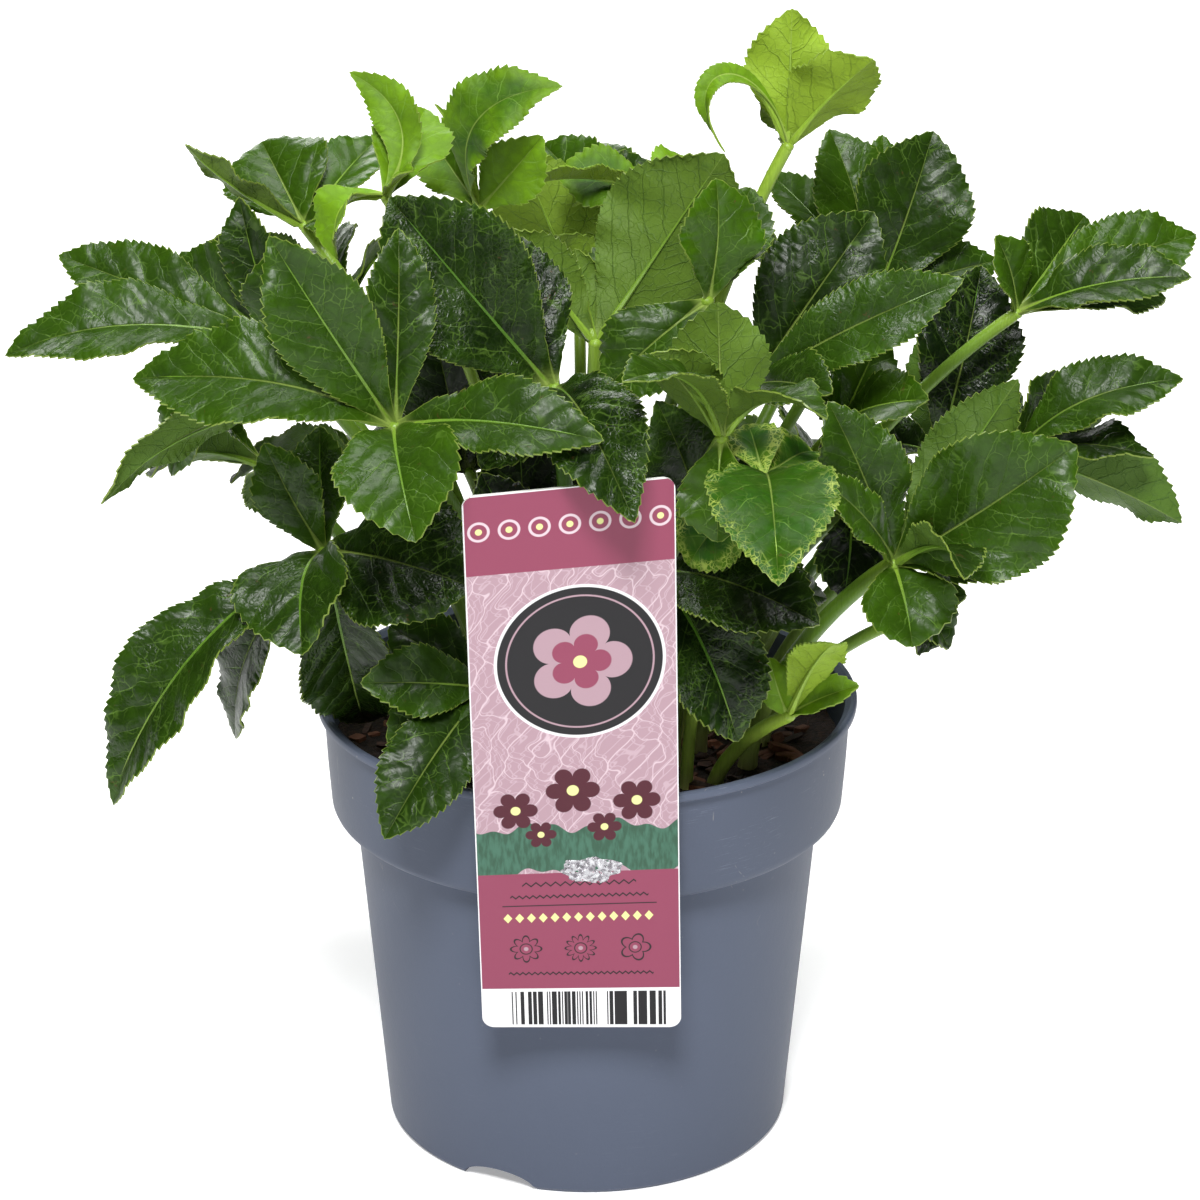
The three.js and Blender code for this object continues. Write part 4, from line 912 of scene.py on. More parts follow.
FRONT_LEAVES = (
    Leaf("front_left", (392, 428, -74), (-0.15, -0.65, 0.75), 1.9, 0.25, (
        Leaflet((129, 378, -66), 27, (0.28, 0.14)),
        Leaflet((97, 500, -84), 24, (0.25, 0.2), face=(0, 0.6, 0.75)),
        Leaflet((266, 238, -62), 24, (0.06, 0.1), face=(-0.1, -0.9, 0.35)),
        Leaflet((396, 228, -56), 17, (0.05, 0.1), face=(0.2, -0.9, 0.3)),
        Leaflet((603, 440, -84), 20, (0.18, 0.12)),
        Leaflet((416, 543, -98), 29, (0.25, 0.25)),
    )),
    Leaf("low_left", (322, 553, -46), (-0.45, -0.5, 0.75), 2.1, 0.15, (
        Leaflet((107, 805, -64), 27, (0.22, 0.2), face=(-0.5, -0.6, 0.6)),
        Leaflet((300, 655, -74), 30, (0.3, 0.2)),
        Leaflet((234, 738, -30), 20, (0.2, 0.15), face=(-0.7, -0.5, 0.2)),
        Leaflet((262, 442, -44), 17, face=(-0.2, -0.8, 0.3)),
        Leaflet((318, 425, -34), 17, face=(-0.2, -0.9, 0.2)),
        Leaflet((476, 590, -58), 36, (0.15, 0.1), face=(0, -0.75, 0.6)),
        Leaflet((366, 726, -30), 25, face=(0, -0.9, 0.3)),
    )),
    Leaf("rim_left", (484, 690, -46), (-0.1, -0.8, 0.55), 1.8, 0.25, (
        Leaflet((388, 627, -44), 19),
        Leaflet((361, 682, -54), 18, (0.15, 0.1)),
        Leaflet((388, 742, -60), 18, (0.2, 0.15)),
        Leaflet((384, 838, -77), 22, (0.14, 0.16)),
        Leaflet((446, 797, -68), 11, (0.08, 0.08)),
    )),
    Leaf("rim_right", (655, 572, -40), (0.2, -0.75, 0.6), 1.9, 0, (
        Leaflet((817, 622, -58), 28, (0.18, 0.15)),
        Leaflet((738, 741, -62), 25, (0.25, 0.2)),
        Leaflet((758, 712, -44), 13),
        Leaflet((827, 600, -34), 15),
    )),
    Leaf("cup_centre", (722, 440, -62), (0.05, 0.35, 0.93), 1.8, 0.45, (
        Leaflet((716, 302, -56), 24, (-0.05, 0.1), face=(0, 1, 0.2)),
        Leaflet((650, 352, -64), 17, face=(0.3, 0.9, 0.3)),
        Leaflet((622, 380, -80), 18, (0.2, 0.2), face=(0.3, 0.15, 0.9)),
        Leaflet((828, 418, -78), 18, (0.3, 0.3), face=(-0.2, 0.35, 0.9)),
        Leaflet((714, 541, -64), 19, (0.15, 0.1), face=(-0.2, -0.9, 0.3)),
    )),
    Leaf("bright_centre", (762, 478, -54), (0, -0.75, 0.65), 1.6, 0.84, (
        Leaflet((777, 582, -82), 30, (0.22, 0.2)),
        Leaflet((686, 566, -66), 19, (0.2, 0.2)),
        Leaflet((812, 450, -34), 16),
        Leaflet((745, 424, -36), 14),
    )),
    Leaf("low_right", (893, 562, -44), (0.45, -0.6, 0.65), 2.3, 0.25, (
        Leaflet((828, 400, -40), 22, face=(0.3, -0.9, 0.2)),
        Leaflet((813, 474, -56), 13, face=(0.6, -0.6, 0.4)),
        Leaflet((1014, 380, -22), 21, face=(0.3, 0.95, 0.1)),
        Leaflet((1076, 444, -52), 36, (0.1, 0.15), face=(0.15, -0.93, 0.35)),
        Leaflet((962, 578, -68), 16, (0.2, 0.2)),
        Leaflet((1020, 566, -56), 19, (0.2, 0.2)),
        Leaflet((912, 646, -58), 24, (0.15, 0.2), face=(0.2, -0.9, -0.1)),
        Leaflet((948, 648, -36), 15),
    )),
    Leaf("upper_right", (1012, 314, 6), (0.35, -0.5, 0.8), 1.8, 0.38, (
        Leaflet((1188, 275, -4), 20, (0.14, 0.12)),
        Leaflet((1195, 236, 24), 24),
        Leaflet((1163, 298, 34), 16, (0.15, 0.1)),
        Leaflet((995, 236, 4), 15),
        Leaflet((1085, 214, 34), 22),
    )),
    Leaf("far_right", (1012, 458, -12), (0.6, -0.35, 0.72), 1.9, 0.2, (
        Leaflet((1181, 378, 4), 20, (0.32, 0.2), face=(0.1, -0.5, 0.85)),
        Leaflet((1113, 398, -8), 22, face=(0.2, 0.9, 0.3)),
        Leaflet((1153, 458, -14), 17, (0.15, 0.1)),
        Leaflet((1181, 524, -22), 22, (0.12, 0.1), face=(0.1, 0.9, 0.45)),
        Leaflet((1056, 372, -4), 17, face=(0.5, -0.8, 0.2)),
    )),
    Leaf("tall_dark_right", (935, 455, 14), (0.4, -0.75, 0.5), 1.8, 0, (
        Leaflet((978, 266, 30), 27, face=(0.1, -0.95, 0.2)),
        Leaflet((918, 332, 32), 18, face=(0.2, 0.9, 0.2)),
        Leaflet((1020, 395, 36), 16),
        Leaflet((865, 440, 30), 15),
    )),
    Leaf("back_right_tall", (872, 300, 54), (0.3, -0.7, 0.6), 1.8, 0.3, (
        Leaflet((933, 133, 66), 31, face=(0.1, -0.95, 0.2)),
        Leaflet((879, 135, 78), 19),
        Leaflet((830, 128, 70), 26),
        Leaflet((995, 262, 60), 18),
        Leaflet((765, 172, 80), 16),
    )),
    Leaf("centre_right", (748, 388, -20), (0.1, -0.8, 0.6), 1.9, 0.2, (
        Leaflet((874, 212, -8), 31),
        Leaflet((963, 278, -16), 20, (0.2, 0.1)),
        Leaflet((830, 395, -40), 18),
    )),
    Leaf("olive_centre", (592, 345, -14), (-0.1, 0.3, 0.9), 1.9, 0.42, (
        Leaflet((724, 156, 4), 37, (0.08, 0.1), face=(0.1, 0.95, -0.2)),
        Leaflet((497, 230, -4), 19, face=(-0.1, 0.95, 0.2)),
        Leaflet((575, 250, 2), 13, (0.05, 0.1), face=(0, 0.95, 0.2)),
        Leaflet((650, 240, 34), 20),
    )),
    Leaf("top_young", (787, 150, 14), (-0.1, 0.25, 0.95), 1.8, 1, (
        Leaflet((790, 10, 18), 22, (-0.05, 0.05), face=(0, 1, 0.1)),
        Leaflet((757, 72, 30), 17, (0.05, 0.05), face=(0.6, 0.6, 0.2)),
        Leaflet((870, 60, 16), 23, (0.1, 0.05), face=(-0.3, 0.9, 0.2)),
        Leaflet((718, 155, 4), 6, via=((760, 40, 12), (665, 60, 8)), face=(0.3, -0.6, 0.6)),
    )),
    Leaf("top_left_centre", (478, 208, 14), (-0.1, -0.4, 0.9), 1.7, 1, (
        Leaflet((560, 88, 8), 20, via=((446, 144, 6), (470, 94, 4)), face=(-0.5, -0.7, 0.4)),
        Leaflet((541, 137, 30), 17, (0.05, 0.1), face=(0.1, -0.9, 0.3)),
        Leaflet((433, 104, 18), 10, (0.05, 0.1), face=(0.9, 0, 0.3)),
        Leaflet((430, 140, 32), 16, (0.05, 0.05), face=(0, -0.95, 0.2)),
    )),
    Leaf("twisted_young", (385, 198, -10), (0.2, -0.3, 0.9), 1.6, 1, (
        Leaflet((348, 74, -6), 12, (0, 0), face=(0.1, -0.95, 0.2), sweep=0.35, twist=0.5),
        Leaflet((335, 262, -24), 15, (0.6, 0.45), face=(-0.4, -0.2, 0.9)),
        Leaflet((412, 172, -16), 10),
        Leaflet((425, 112, 14), 20, (0.05, 0.1), face=(0, -0.9, 0.3)),
    )),
    Leaf("upper_left", (302, 228, 40), (-0.2, -0.6, 0.75), 1.8, 0.5, (
        Leaflet((262, 143, 58), 29, (0.05, 0.08), face=(0.1, -0.9, 0.2)),
        Leaflet((185, 146, 38), 13, (-0.05, -0.08), face=(0.3, 0.6, 0.7)),
        Leaflet((380, 137, 64), 18, (0.05, 0.1)),
        Leaflet((345, 212, 30), 11),
    )),
    Leaf("left_mid", (284, 345, 6), (-0.5, -0.5, 0.7), 1.9, 0.3, (
        Leaflet((168, 262, 20), 26, face=(-0.1, -0.9, 0.3)),
        Leaflet((238, 197, 12), 16, face=(-0.4, -0.8, 0.2)),
        Leaflet((268, 256, -2), 16, face=(-0.2, -0.9, 0.3)),
        Leaflet((322, 288, 22), 15),
    )),
    Leaf("far_left", (262, 340, -28), (-0.4, -0.5, 0.75), 1.9, 0.3, (
        Leaflet((5, 354, -34), 23, (0.16, 0.2)),
        Leaflet((57, 257, -10), 21, (0.02, 0.05)),
        Leaflet((84, 292, 10), 17),
        Leaflet((170, 478, -40), 20, (0.25, 0.2)),
    )),
    Leaf("dark_centre", (552, 388, -46), (0, -0.75, 0.65), 2.1, 0, (
        Leaflet((388, 197, -36), 35, face=(-0.15, -0.9, 0.4)),
        Leaflet((505, 230, -30), 18, face=(0.4, -0.85, 0.2)),
        Leaflet((634, 523, -98), 25, (0.3, 0.3)),
        Leaflet((480, 470, -66), 20, (0.15, 0.2)),
    )),
    Leaf("olive_back", (578, 300, 44), (-0.2, 0.2, 0.9), 1.7, 0.75, (
        Leaflet((515, 152, 54), 28, (0.05, 0.1), face=(-0.1, 0.95, 0.2)),
        Leaflet((600, 205, 60), 18, (0.05, 0.1), face=(0, 0.9, 0.3)),
        Leaflet((560, 235, 36), 16, (0.05, 0.1), face=(0, 0.9, 0.3)),
    )),
    Leaf("back_centre", (600, 215, 84), (0, -0.3, 0.95), 1.7, 0.35, (
        Leaflet((542, 143, 92), 21, (0.15, 0.1), face=(0, -0.8, 0.6)),
        Leaflet((656, 168, 88), 20, (0.15, 0.1), face=(0, -0.8, 0.6)),
        Leaflet((600, 142, 108), 19),
        Leaflet((520, 225, 116), 20),
        Leaflet((690, 225, 116), 20),
    )),
    Leaf("right_dark", (850, 508, -20), (0.2, -0.8, 0.55), 1.8, 0, (
        Leaflet((822, 436, -20), 20),
        Leaflet((884, 440, -12), 18),
        Leaflet((802, 470, -16), 18),
        Leaflet((840, 598, -32), 19, (0.12, 0.15)),
    )),
    Leaf("right_small", (838, 425, -6), (0.1, -0.6, 0.75), 1.6, 0.55, (
        Leaflet((926, 398, -22), 18, (0.15, 0.1)),
        Leaflet((880, 338, 4), 18),
        Leaflet((803, 378, -12), 14),
    )),
    Leaf("young_shoot", (786, 716, -42), (0.2, -0.5, 0.8), 2, 1, (
        Leaflet((834, 640, -46), 13),
        Leaflet((858, 684, -48), 10),
        Leaflet((806, 646, -34), 14, face=(0.3, -0.9, 0.2)),
        Leaflet((768, 656, -40), 12, face=(-0.3, -0.9, 0.2)),
    )),
    Leaf("label_dark", (528, 570, -16), (0, -0.8, 0.5), 1.8, 0, (
        Leaflet((482, 474, -18), 20, (0.1, 0.15)),
        Leaflet((516, 428, -10), 24, (0.1, 0.15)),
        Leaflet((570, 424, -6), 24, (0.1, 0.15)),
        Leaflet((612, 480, -8), 18),
    )),
    Leaf("inner_right", (702, 548, -30), (0.1, -0.8, 0.55), 1.8, 0.15, (
        Leaflet((656, 400, -24), 25, (0.1, 0.15)),
        Leaflet((712, 404, -20), 22),
        Leaflet((764, 432, -22), 20),
        Leaflet((640, 500, -34), 18, (0.15, 0.15)),
    )),
    Leaf("mid_dark", (470, 470, 0), (-0.1, -0.8, 0.5), 1.8, 0.15, (
        Leaflet((428, 318, 8), 24),
        Leaflet((478, 330, 14), 22),
        Leaflet((520, 400, 10), 20),
        Leaflet((404, 410, 4), 20),
    )),
    Leaf("low_outer", (898, 622, -34), (0.5, -0.4, 0.7), 1.8, 0.1, (
        Leaflet((966, 596, -48), 16, (0.15, 0.15)),
        Leaflet((938, 646, -46), 18, (0.2, 0.2)),
    )),
    Leaf("centre_upright", (705, 302, -36), (0, -0.85, 0.5), 1.8, 0.35, (
        Leaflet((601, 392, -50), 22, (0.15, 0.15), face=(-0.2, -0.85, 0.45)),
        Leaflet((716, 178, -26), 23, face=(0.5, -0.8, 0.2)),
        Leaflet((750, 186, -16), 19, (0.05, 0.1)),
    )),
    Leaf("bright_top_centre", (655, 196, 40), (-0.3, -0.1, 0.95), 1.6, 1, (
        Leaflet((556, 178, 30), 19, face=(0, -0.65, 0.75)),
        Leaflet((518, 186, 20), 11, face=(0, 0.5, 0.85)),
        Leaflet((572, 207, 22), 10, face=(0, 0.4, 0.9)),
        Leaflet((690, 160, 62), 16, (0.05, 0.1), face=(0, -0.8, 0.5)),
    )),
)

# Leaves behind the front ones, set out in millimetres: (x, y, z).
BACK_LEAVES = (
    Leaf("back_left", (-66, 58, 200), (-0.4, 0.5, 0.75), 1.9, 0.3, (
        Leaflet((-104, 64, 220), 22, (0.15, 0.15)),
        Leaflet((-108, 98, 200), 24, (0.15, 0.2)),
        Leaflet((-72, 112, 205), 25, (0.15, 0.2)),
        Leaflet((-44, 88, 222), 19),
        Leaflet((-96, 46, 188), 18, (0.15, 0.2)),
    )),
    Leaf("back_left_low", (-56, 66, 152), (-0.4, 0.6, 0.7), 1.9, 0.15, (
        Leaflet((-98, 72, 150), 23, (0.2, 0.25)),
        Leaflet((-92, 108, 140), 26, (0.2, 0.25)),
        Leaflet((-56, 116, 146), 25, (0.2, 0.25)),
        Leaflet((-30, 98, 160), 19, (0.15, 0.15)),
    )),
    Leaf("back_mid", (-12, 92, 198), (0, 0.6, 0.75), 2, 0.2, (
        Leaflet((-40, 126, 206), 23, (0.15, 0.2)),
        Leaflet((-14, 142, 188), 27, (0.2, 0.25)),
        Leaflet((18, 134, 202), 24, (0.15, 0.2)),
        Leaflet((-44, 100, 180), 18, (0.15, 0.2)),
        Leaflet((24, 104, 180), 18, (0.15, 0.2)),
    )),
    Leaf("back_mid_low", (14, 86, 146), (0, 0.7, 0.7), 1.9, 0.1, (
        Leaflet((-26, 116, 140), 24, (0.2, 0.25)),
        Leaflet((6, 130, 128), 27, (0.25, 0.3)),
        Leaflet((36, 114, 140), 24, (0.2, 0.25)),
    )),
    Leaf("back_right", (66, 84, 196), (0.4, 0.6, 0.7), 1.9, 0.3, (
        Leaflet((104, 90, 210), 22, (0.15, 0.15)),
        Leaflet((100, 122, 196), 25, (0.15, 0.2)),
        Leaflet((62, 132, 200), 25, (0.15, 0.2)),
        Leaflet((36, 108, 208), 19),
    )),
    Leaf("back_right_low", (60, 64, 152), (0.4, 0.6, 0.7), 1.9, 0.15, (
        Leaflet((98, 62, 148), 22, (0.2, 0.25)),
        Leaflet((94, 100, 138), 26, (0.2, 0.25)),
        Leaflet((58, 116, 144), 25, (0.2, 0.25)),
        Leaflet((36, 92, 158), 18, (0.15, 0.15)),
    )),
    Leaf("side_right", (88, 34, 168), (0.75, 0.1, 0.65), 1.9, 0.2, (
        Leaflet((128, 16, 170), 21, (0.2, 0.2)),
        Leaflet((130, 48, 164), 25, (0.2, 0.25)),
        Leaflet((106, 74, 166), 22, (0.2, 0.2)),
        Leaflet((94, 60, 142), 17, (0.2, 0.2)),
    )),
    Leaf("side_left", (-84, 24, 172), (-0.75, 0.1, 0.65), 1.9, 0.2, (
        Leaflet((-112, 4, 176), 18, (0.2, 0.2)),
        Leaflet((-118, 32, 168), 23, (0.2, 0.25)),
        Leaflet((-106, 60, 164), 22, (0.2, 0.2)),
        Leaflet((-76, 54, 146), 17, (0.2, 0.2)),
    )),
    Leaf("back_young", (18, 60, 226), (0, 0.5, 0.85), 1.7, 1, (
        Leaflet((46, 86, 210), 17, (0.2, 0.2)),
        Leaflet((20, 100, 198), 19, (0.2, 0.2)),
        Leaflet((-12, 80, 230), 16, (0.15, 0.15)),
    )),
)


@dataclass(frozen=True)
class Settled:
    """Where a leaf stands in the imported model, in millimetres."""

    root: np.ndarray
    hub: np.ndarray
    tips: tuple[np.ndarray, ...]


@dataclass
class Foliage:
    """All leaves of the plant, each one object of leaflets, ribs and stalk; mm."""

    front: tuple[Leaf, ...] = FRONT_LEAVES  # laid out in the front view
    back: tuple[Leaf, ...] = BACK_LEAVES  # laid out in millimetres
    view: FrontView = FrontView()
    thick: float = 0.4  # blade
    cad_thick: float = 0.72
    cad_error: float = 0.02  # how far a thickness may be from that
    whole_error: float = 0.03  # how far a place may be from whole millimetres
    sight_error: float = 1.3  # from the line of sight
    depth_error: float = 60.0  # from where it was laid out
    knob: float = 1.9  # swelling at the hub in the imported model, per stalk radius
    hub_swelling: float = 0.94
    hub_flat: float = 0.85  # height of the swelling, per width
    margin_roll: float = 0.7  # how far a margin may turn down
    cup: Pair = (-0.16, 0.2)  # hollow of a leaflet, per half width
    droop: Pair = (0.0, 0.025)  # how far a tip hangs, per length
    fold: float = 0.25  # slope of both halves, up from the rib
    fold_base: float = 0.6  # how much more it is at the stalk
    wave: float = 0.1  # of the margin, per half width
    waves: float = 2.2
    left_shift: float = 2.1
    groove: Pair = (0.3, 0.8)  # depth and half width over the rib
    swell: Pair = (0.42, 0.2)  # height between side veins, and how much less when young
    slow: float = 0.3
    ruffle: float = 0.45
    narrow: float = 5.0  # half width under which the relief fades
    stem_half: float = 1.1
    broadest: float = 1.3
    tooth_out: float = 1.045
    tooth_depth: float = 0.78
    tooth_share: float = 0.11  # deepest cut, per half width
    tooth_jitter: float = 0.12
    tooth_every: float = 1.9
    toothed_share: float = 0.77  # of the length, to count the teeth
    teeth: tuple[int, int] = (7, 34)  # fewest and most along a margin
    toothed: Pair = (0.2, 0.985)  # where the teeth start and end, per length
    columns: tuple = (0.0, 0.06, 0.17, 0.34, 0.54, 0.74, 0.92, 1.0)
    rib_end: float = 0.9
    smooth: float = 50.0  # sharpest smoothed angle, degrees
    young: float = 0.6  # age over which a leaf is a young one
    age_jitter: float = 0.03
    pale_reach: float = 9.0  # how far ribs and stalk are pale from the hub
    veins: LeafVeins = LeafVeins()
    rng: np.random.Generator = field(default_factory=lambda: np.random.default_rng(7))

    def settle(self, leaf: Leaf, hub: np.ndarray, tips: Sequence[np.ndarray]) -> Settled:
        """Reads a leaf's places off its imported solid.

        Args:
            leaf: the leaf.
            hub: where its hub was laid out.
            tips: where its tips were laid out.

        Returns:
            The places, whole millimetres as the solid has them.
        """
        solid = points_of(frame["nodes"]["leaf_" + leaf.name])
        points = np.unique(np.round(solid, 3), axis=0)
        root = points[points[:, 2] < points[:, 2].min() + 0.05].mean(axis=0)
        one, two = np.triu_indices(len(points), 1)
        apart = np.linalg.norm(points[one] - points[two], axis=1)
        pair = np.abs(apart - self.cad_thick) < self.cad_error
        middles = (points[one[pair]] + points[two[pair]]) / 2
        reach = leaf.stalk * self.knob
        corners = np.concatenate([points + s * reach * a for a in np.eye(3) for s in (-1, 1)])
        return Settled(
            root,
            self.nearest(corners, hub, leaf.name + " hub"),
            tuple(self.nearest(middles, tip, leaf.name + " tip") for tip in tips),
        )

    def nearest(self, points: np.ndarray, through: np.ndarray, label: str) -> np.ndarray:
        """Whole millimetre point nearest the line of sight through a laid out point.

        Args:
            points: candidates; the one met most often wins.
            through: the laid out point.
            label: what is looked for.

        Returns:
            The point, or the laid out point where none fits.
        """
        whole = np.round(points)
        near = np.abs(points - whole).max(axis=1) < self.whole_error
        near &= self.view.off_line(whole, through) < self.sight_error
        near &= np.linalg.norm(whole - through, axis=1) < self.depth_error
        if not near.any():
            log.warning("%s not found in the packed model", label)
            return through
        found, votes = np.unique(whole[near], axis=0, return_counts=True)
        score = votes - self.view.off_line(found, through)
        return found[np.argmax(score)]

    def build(self) -> list[bpy.types.Object]:
        """Models every leaf.

        Returns:
            The finished leaves.
        """
        materials = [LeafUpper(self.veins).make(), LeafUnder(self.veins).make(), StalkFinish().make()]
        laid_out = ((self.front, self.view.place), (self.back, np.array))
        return [self.leaf(leaf, place, materials) for leaves, place in laid_out for leaf in leaves]

    def leaf(self, leaf: Leaf, place: Callable, materials: Sequence) -> bpy.types.Object:
        """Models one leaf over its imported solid.

        Args:
            leaf: the leaf.
            place: turns a laid out point into millimetres.
            materials: upper side, underside and stalk.

        Returns:
            The leaf.
        """
        spot = self.settle(leaf, place(leaf.hub), [place(leaflet.tip) for leaflet in leaf.leaflets])
        blades, ribs = [], []
        for order, (leaflet, tip) in enumerate(zip(leaf.leaflets, spot.tips)):
            guides, across = self.guides(leaf, leaflet, spot.hub, tip, place)
            blades.append(self.blade(leaf, leaflet, guides, across, order))
            ribs.append(self.rib(leaf, leaflet, guides, across))
        blade = join(blades, "blades")
        upper, under, stalk = materials
        thicken(blade, self.thick, {Side.FRONT: upper, Side.BACK: under}, use_rim=True)
        stem = join([*ribs, self.stalk(spot, leaf), self.hub(spot, leaf)], "stems")
        stem.data.materials.append(stalk)
        places = points_of(stem)
        keep(stem, "age", np.full(len(places), leaf.age))
        away = np.linalg.norm(places - spot.hub, axis=1)
        keep(stem, "pale", np.exp(-((away / self.pale_reach) ** 2)))
        whole = join([blade, stem], leaf.name)
        finished(whole, [], self.smooth)
        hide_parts("leaf_" + leaf.name)
        return whole

    def guides(
        self, leaf: Leaf, leaflet: Leaflet, hub: np.ndarray, tip: np.ndarray, place: Callable
    ) -> tuple[list[np.ndarray], np.ndarray]:
        """Guide points of a leaflet's middle line, and the way across it.

        Args:
            leaf: its leaf.
            leaflet: the leaflet.
            hub: where it starts.
            tip: where it ends.
            place: turns a laid out point into millimetres.

        Returns:
            Four guide points, and a unit vector across the leaflet.
        """
        run = tip - hub
        length = np.linalg.norm(run)
        way = run / length
        up = np.array(leaflet.face or leaf.face, float)
        up = unit(up - up.dot(way) * way)
        across = np.cross(way, up)
        if leaflet.via:
            low, high = (place(point) for point in leaflet.via)
        else:
            low, high = (
                hub + run * share + (up * bow + across * leaflet.sweep) * length
                for share, bow in zip((1 / 3, 2 / 3), leaflet.bow)
            )
        return [hub, low, high, tip], across

    def axes(
        self, leaflet: Leaflet, guides: Sequence[np.ndarray], across: np.ndarray, t: np.ndarray
    ) -> tuple[np.ndarray, np.ndarray, np.ndarray]:
        """Middle line of a leaflet with its own directions.

        Args:
            leaflet: the leaflet.
            guides: its guide points.
            across: the way across it.
            t: places along it.

        Returns:
            Points, unit vectors across and unit vectors out of the upper side.
        """
        points, ways = bezier(guides, t)
        side = unit(across - (ways @ across)[:, None] * ways)
        out = np.cross(side, ways)
        turn = (leaflet.twist * t)[:, None]
        return points, side * np.cos(turn) + out * np.sin(turn), out * np.cos(turn) - side * np.sin(turn)

    def half(self, width: float, t: np.ndarray) -> np.ndarray:
        """Half width of a leaflet along its length."""
        swell = np.sin(np.pi * np.clip(t, 1e-6, 1 - 1e-6) ** self.broadest) ** 0.95
        return width / 2 * swell + self.stem_half * (1 - t) ** 6

    def rows(self, teeth: int) -> tuple[np.ndarray, np.ndarray, np.ndarray]:
        """Rows of points along a leaflet: six by the stalk, three a tooth and two at the tip.

        Args:
            teeth: how many teeth each margin has.

        Returns:
            By row, its place along, how far out its tooth has grown and how far that leans ahead.
        """
        first, last = self.toothed
        starts = np.linspace(first, last, teeth + 1)[:-1]
        step = starts[1] - starts[0]
        toothed = (starts[:, None] + step * np.array([0.0, 0.4, 0.8])).ravel()
        t = np.concatenate([np.linspace(0.015, first, 7)[:-1], toothed, [0.988, 1.0]])
        grow = np.concatenate([np.full(6, 0.5), np.tile([0.0, 0.5, 1.0], teeth), [0.2, 0.0]])
        lean = np.concatenate([np.zeros(6), np.tile([0.0, 0.04, 0.2], teeth) * step, [0.0, 0.0]])
        return t, grow, lean

    def blade(
        self, leaf: Leaf, leaflet: Leaflet, guides: Sequence[np.ndarray], across: np.ndarray, order: int
    ) -> bpy.types.Object:
        """Shapes a flat grid into one toothed, folded and puckered leaflet.

        Args:
            leaf: its leaf.
            leaflet: the leaflet.
            guides: guide points of its middle line.
            across: the way across it.
            order: which leaflet of the leaf it is.

        Returns:
            The leaflet's sheet, without thickness.
        """
        dense = bezier(guides, np.linspace(0, 1, 60))[0]
        length = float(np.linalg.norm(np.diff(dense, axis=0), axis=1).sum())
        teeth = int(np.clip(round(length * self.toothed_share / self.tooth_every), *self.teeth))
        t, grow, lean = self.rows(teeth)
        v = np.concatenate([-np.array(self.columns)[::-1], np.array(self.columns)[1:]])
        left = v < 0
        half = self.half(leaflet.width, t)
        rng = self.rng
        jitter = 1 + rng.normal(0, self.tooth_jitter, (len(t), 2))
        cut = np.minimum(self.tooth_depth, half * self.tooth_share)[:, None] * (1 - grow)[:, None] * jitter
        margin = half[:, None] * self.tooth_out - cut
        edge_v = np.abs(v) ** 3
        reach = half[:, None] * np.abs(v) * (1 - edge_v)
        reach += np.where(left, margin[:, :1], margin[:, 1:]) * np.abs(v) * edge_v
        shifted = t[:, None] + lean[:, None] * np.abs(v) ** 6
        points, side, out = self.axes(leaflet, guides, across, t)
        ahead = bezier(guides, t)[1]
        curve = TURN * self.waves * t[:, None] + order + np.where(left, self.left_shift, 0.0)
        fold = self.fold * (1 + self.fold_base * (1 - t) ** 2)[:, None]
        up = fold * reach + self.wave * half[:, None] * np.sin(curve) * v**2
        x = reach * np.sign(v)
        y = shifted * length
        up += self.pucker(x, y, half, v, leaf.age)
        roll = self.margin_roll * rng.uniform(0.2, 1.0) * np.abs(v) ** 5
        up -= roll * np.minimum(half / self.narrow, 1)[:, None]
        up += rng.uniform(*self.cup) * half[:, None] * (v**2 - 0.3)
        up -= rng.uniform(*self.droop) * length * t[:, None] ** 6
        place = points[:, None] + side[:, None] * x[..., None] + out[:, None] * up[..., None]
        place += ahead[:, None] * ((shifted - t[:, None]) * length)[..., None]
        sheet = grid("blade", len(v), len(t))
        shape(sheet, place.reshape(-1, 3))
        lay_map(sheet, "blade_mm", np.stack([x, y], axis=-1).reshape(-1, 2))
        ones = np.ones_like(x)
        keep(sheet, "along", ones * t[:, None])
        keep(sheet, "edge", half[:, None] * (1 - np.abs(v)))
        keep(sheet, "age", ones * np.clip(leaf.age + rng.normal(0, self.age_jitter), 0, 1))
        keep(sheet, "tone", ones * rng.random())
        keep(sheet, "seed", ones * rng.random())
        weld(sheet, reach=0.002)
        return sheet

    def pucker(self, x: np.ndarray, y: np.ndarray, half: np.ndarray, v: np.ndarray, age: float) -> np.ndarray:
        """Relief of a leaflet: the groove over the rib, swellings between veins, a slow wave.

        Args:
            x: millimetres across, by row and column.
            y: millimetres along.
            half: half width by row.
            v: share of the half width by column.
            age: the leaf's age.

        Returns:
            Heights in millimetres.
        """
        rng, veins = self.rng, self.veins
        apart = np.abs(x)
        depth, width = self.groove
        groove = -depth * np.exp(-((x / width) ** 2))
        course = (y - apart * veins.slant - veins.curl * apart**2) / veins.spacing
        course += np.where(x < 0, veins.left_shift / veins.spacing, 0.0)
        high, less = self.swell
        swell = (1 - np.abs(np.cos(np.pi * course))) * np.minimum(apart / 3, 1) * (high - less * age)
        slow = np.zeros_like(x)
        for _ in range(4):
            lengthways, sideways, phase = rng.uniform(0.14, 0.6), rng.uniform(-0.3, 0.3), rng.uniform(0, 6.3)
            slow += self.slow * np.sin(y * lengthways + x * sideways + phase)
        starts = np.where(x < 0, rng.uniform(0, 6.3), rng.uniform(0, 6.3))
        ruffle = self.ruffle * np.sin(y * rng.uniform(0.42, 0.7) + starts) * v**4
        taper = np.minimum(half / self.narrow, 1)[:, None]
        return (groove + (swell + slow * np.abs(v) + ruffle) * taper) * taper

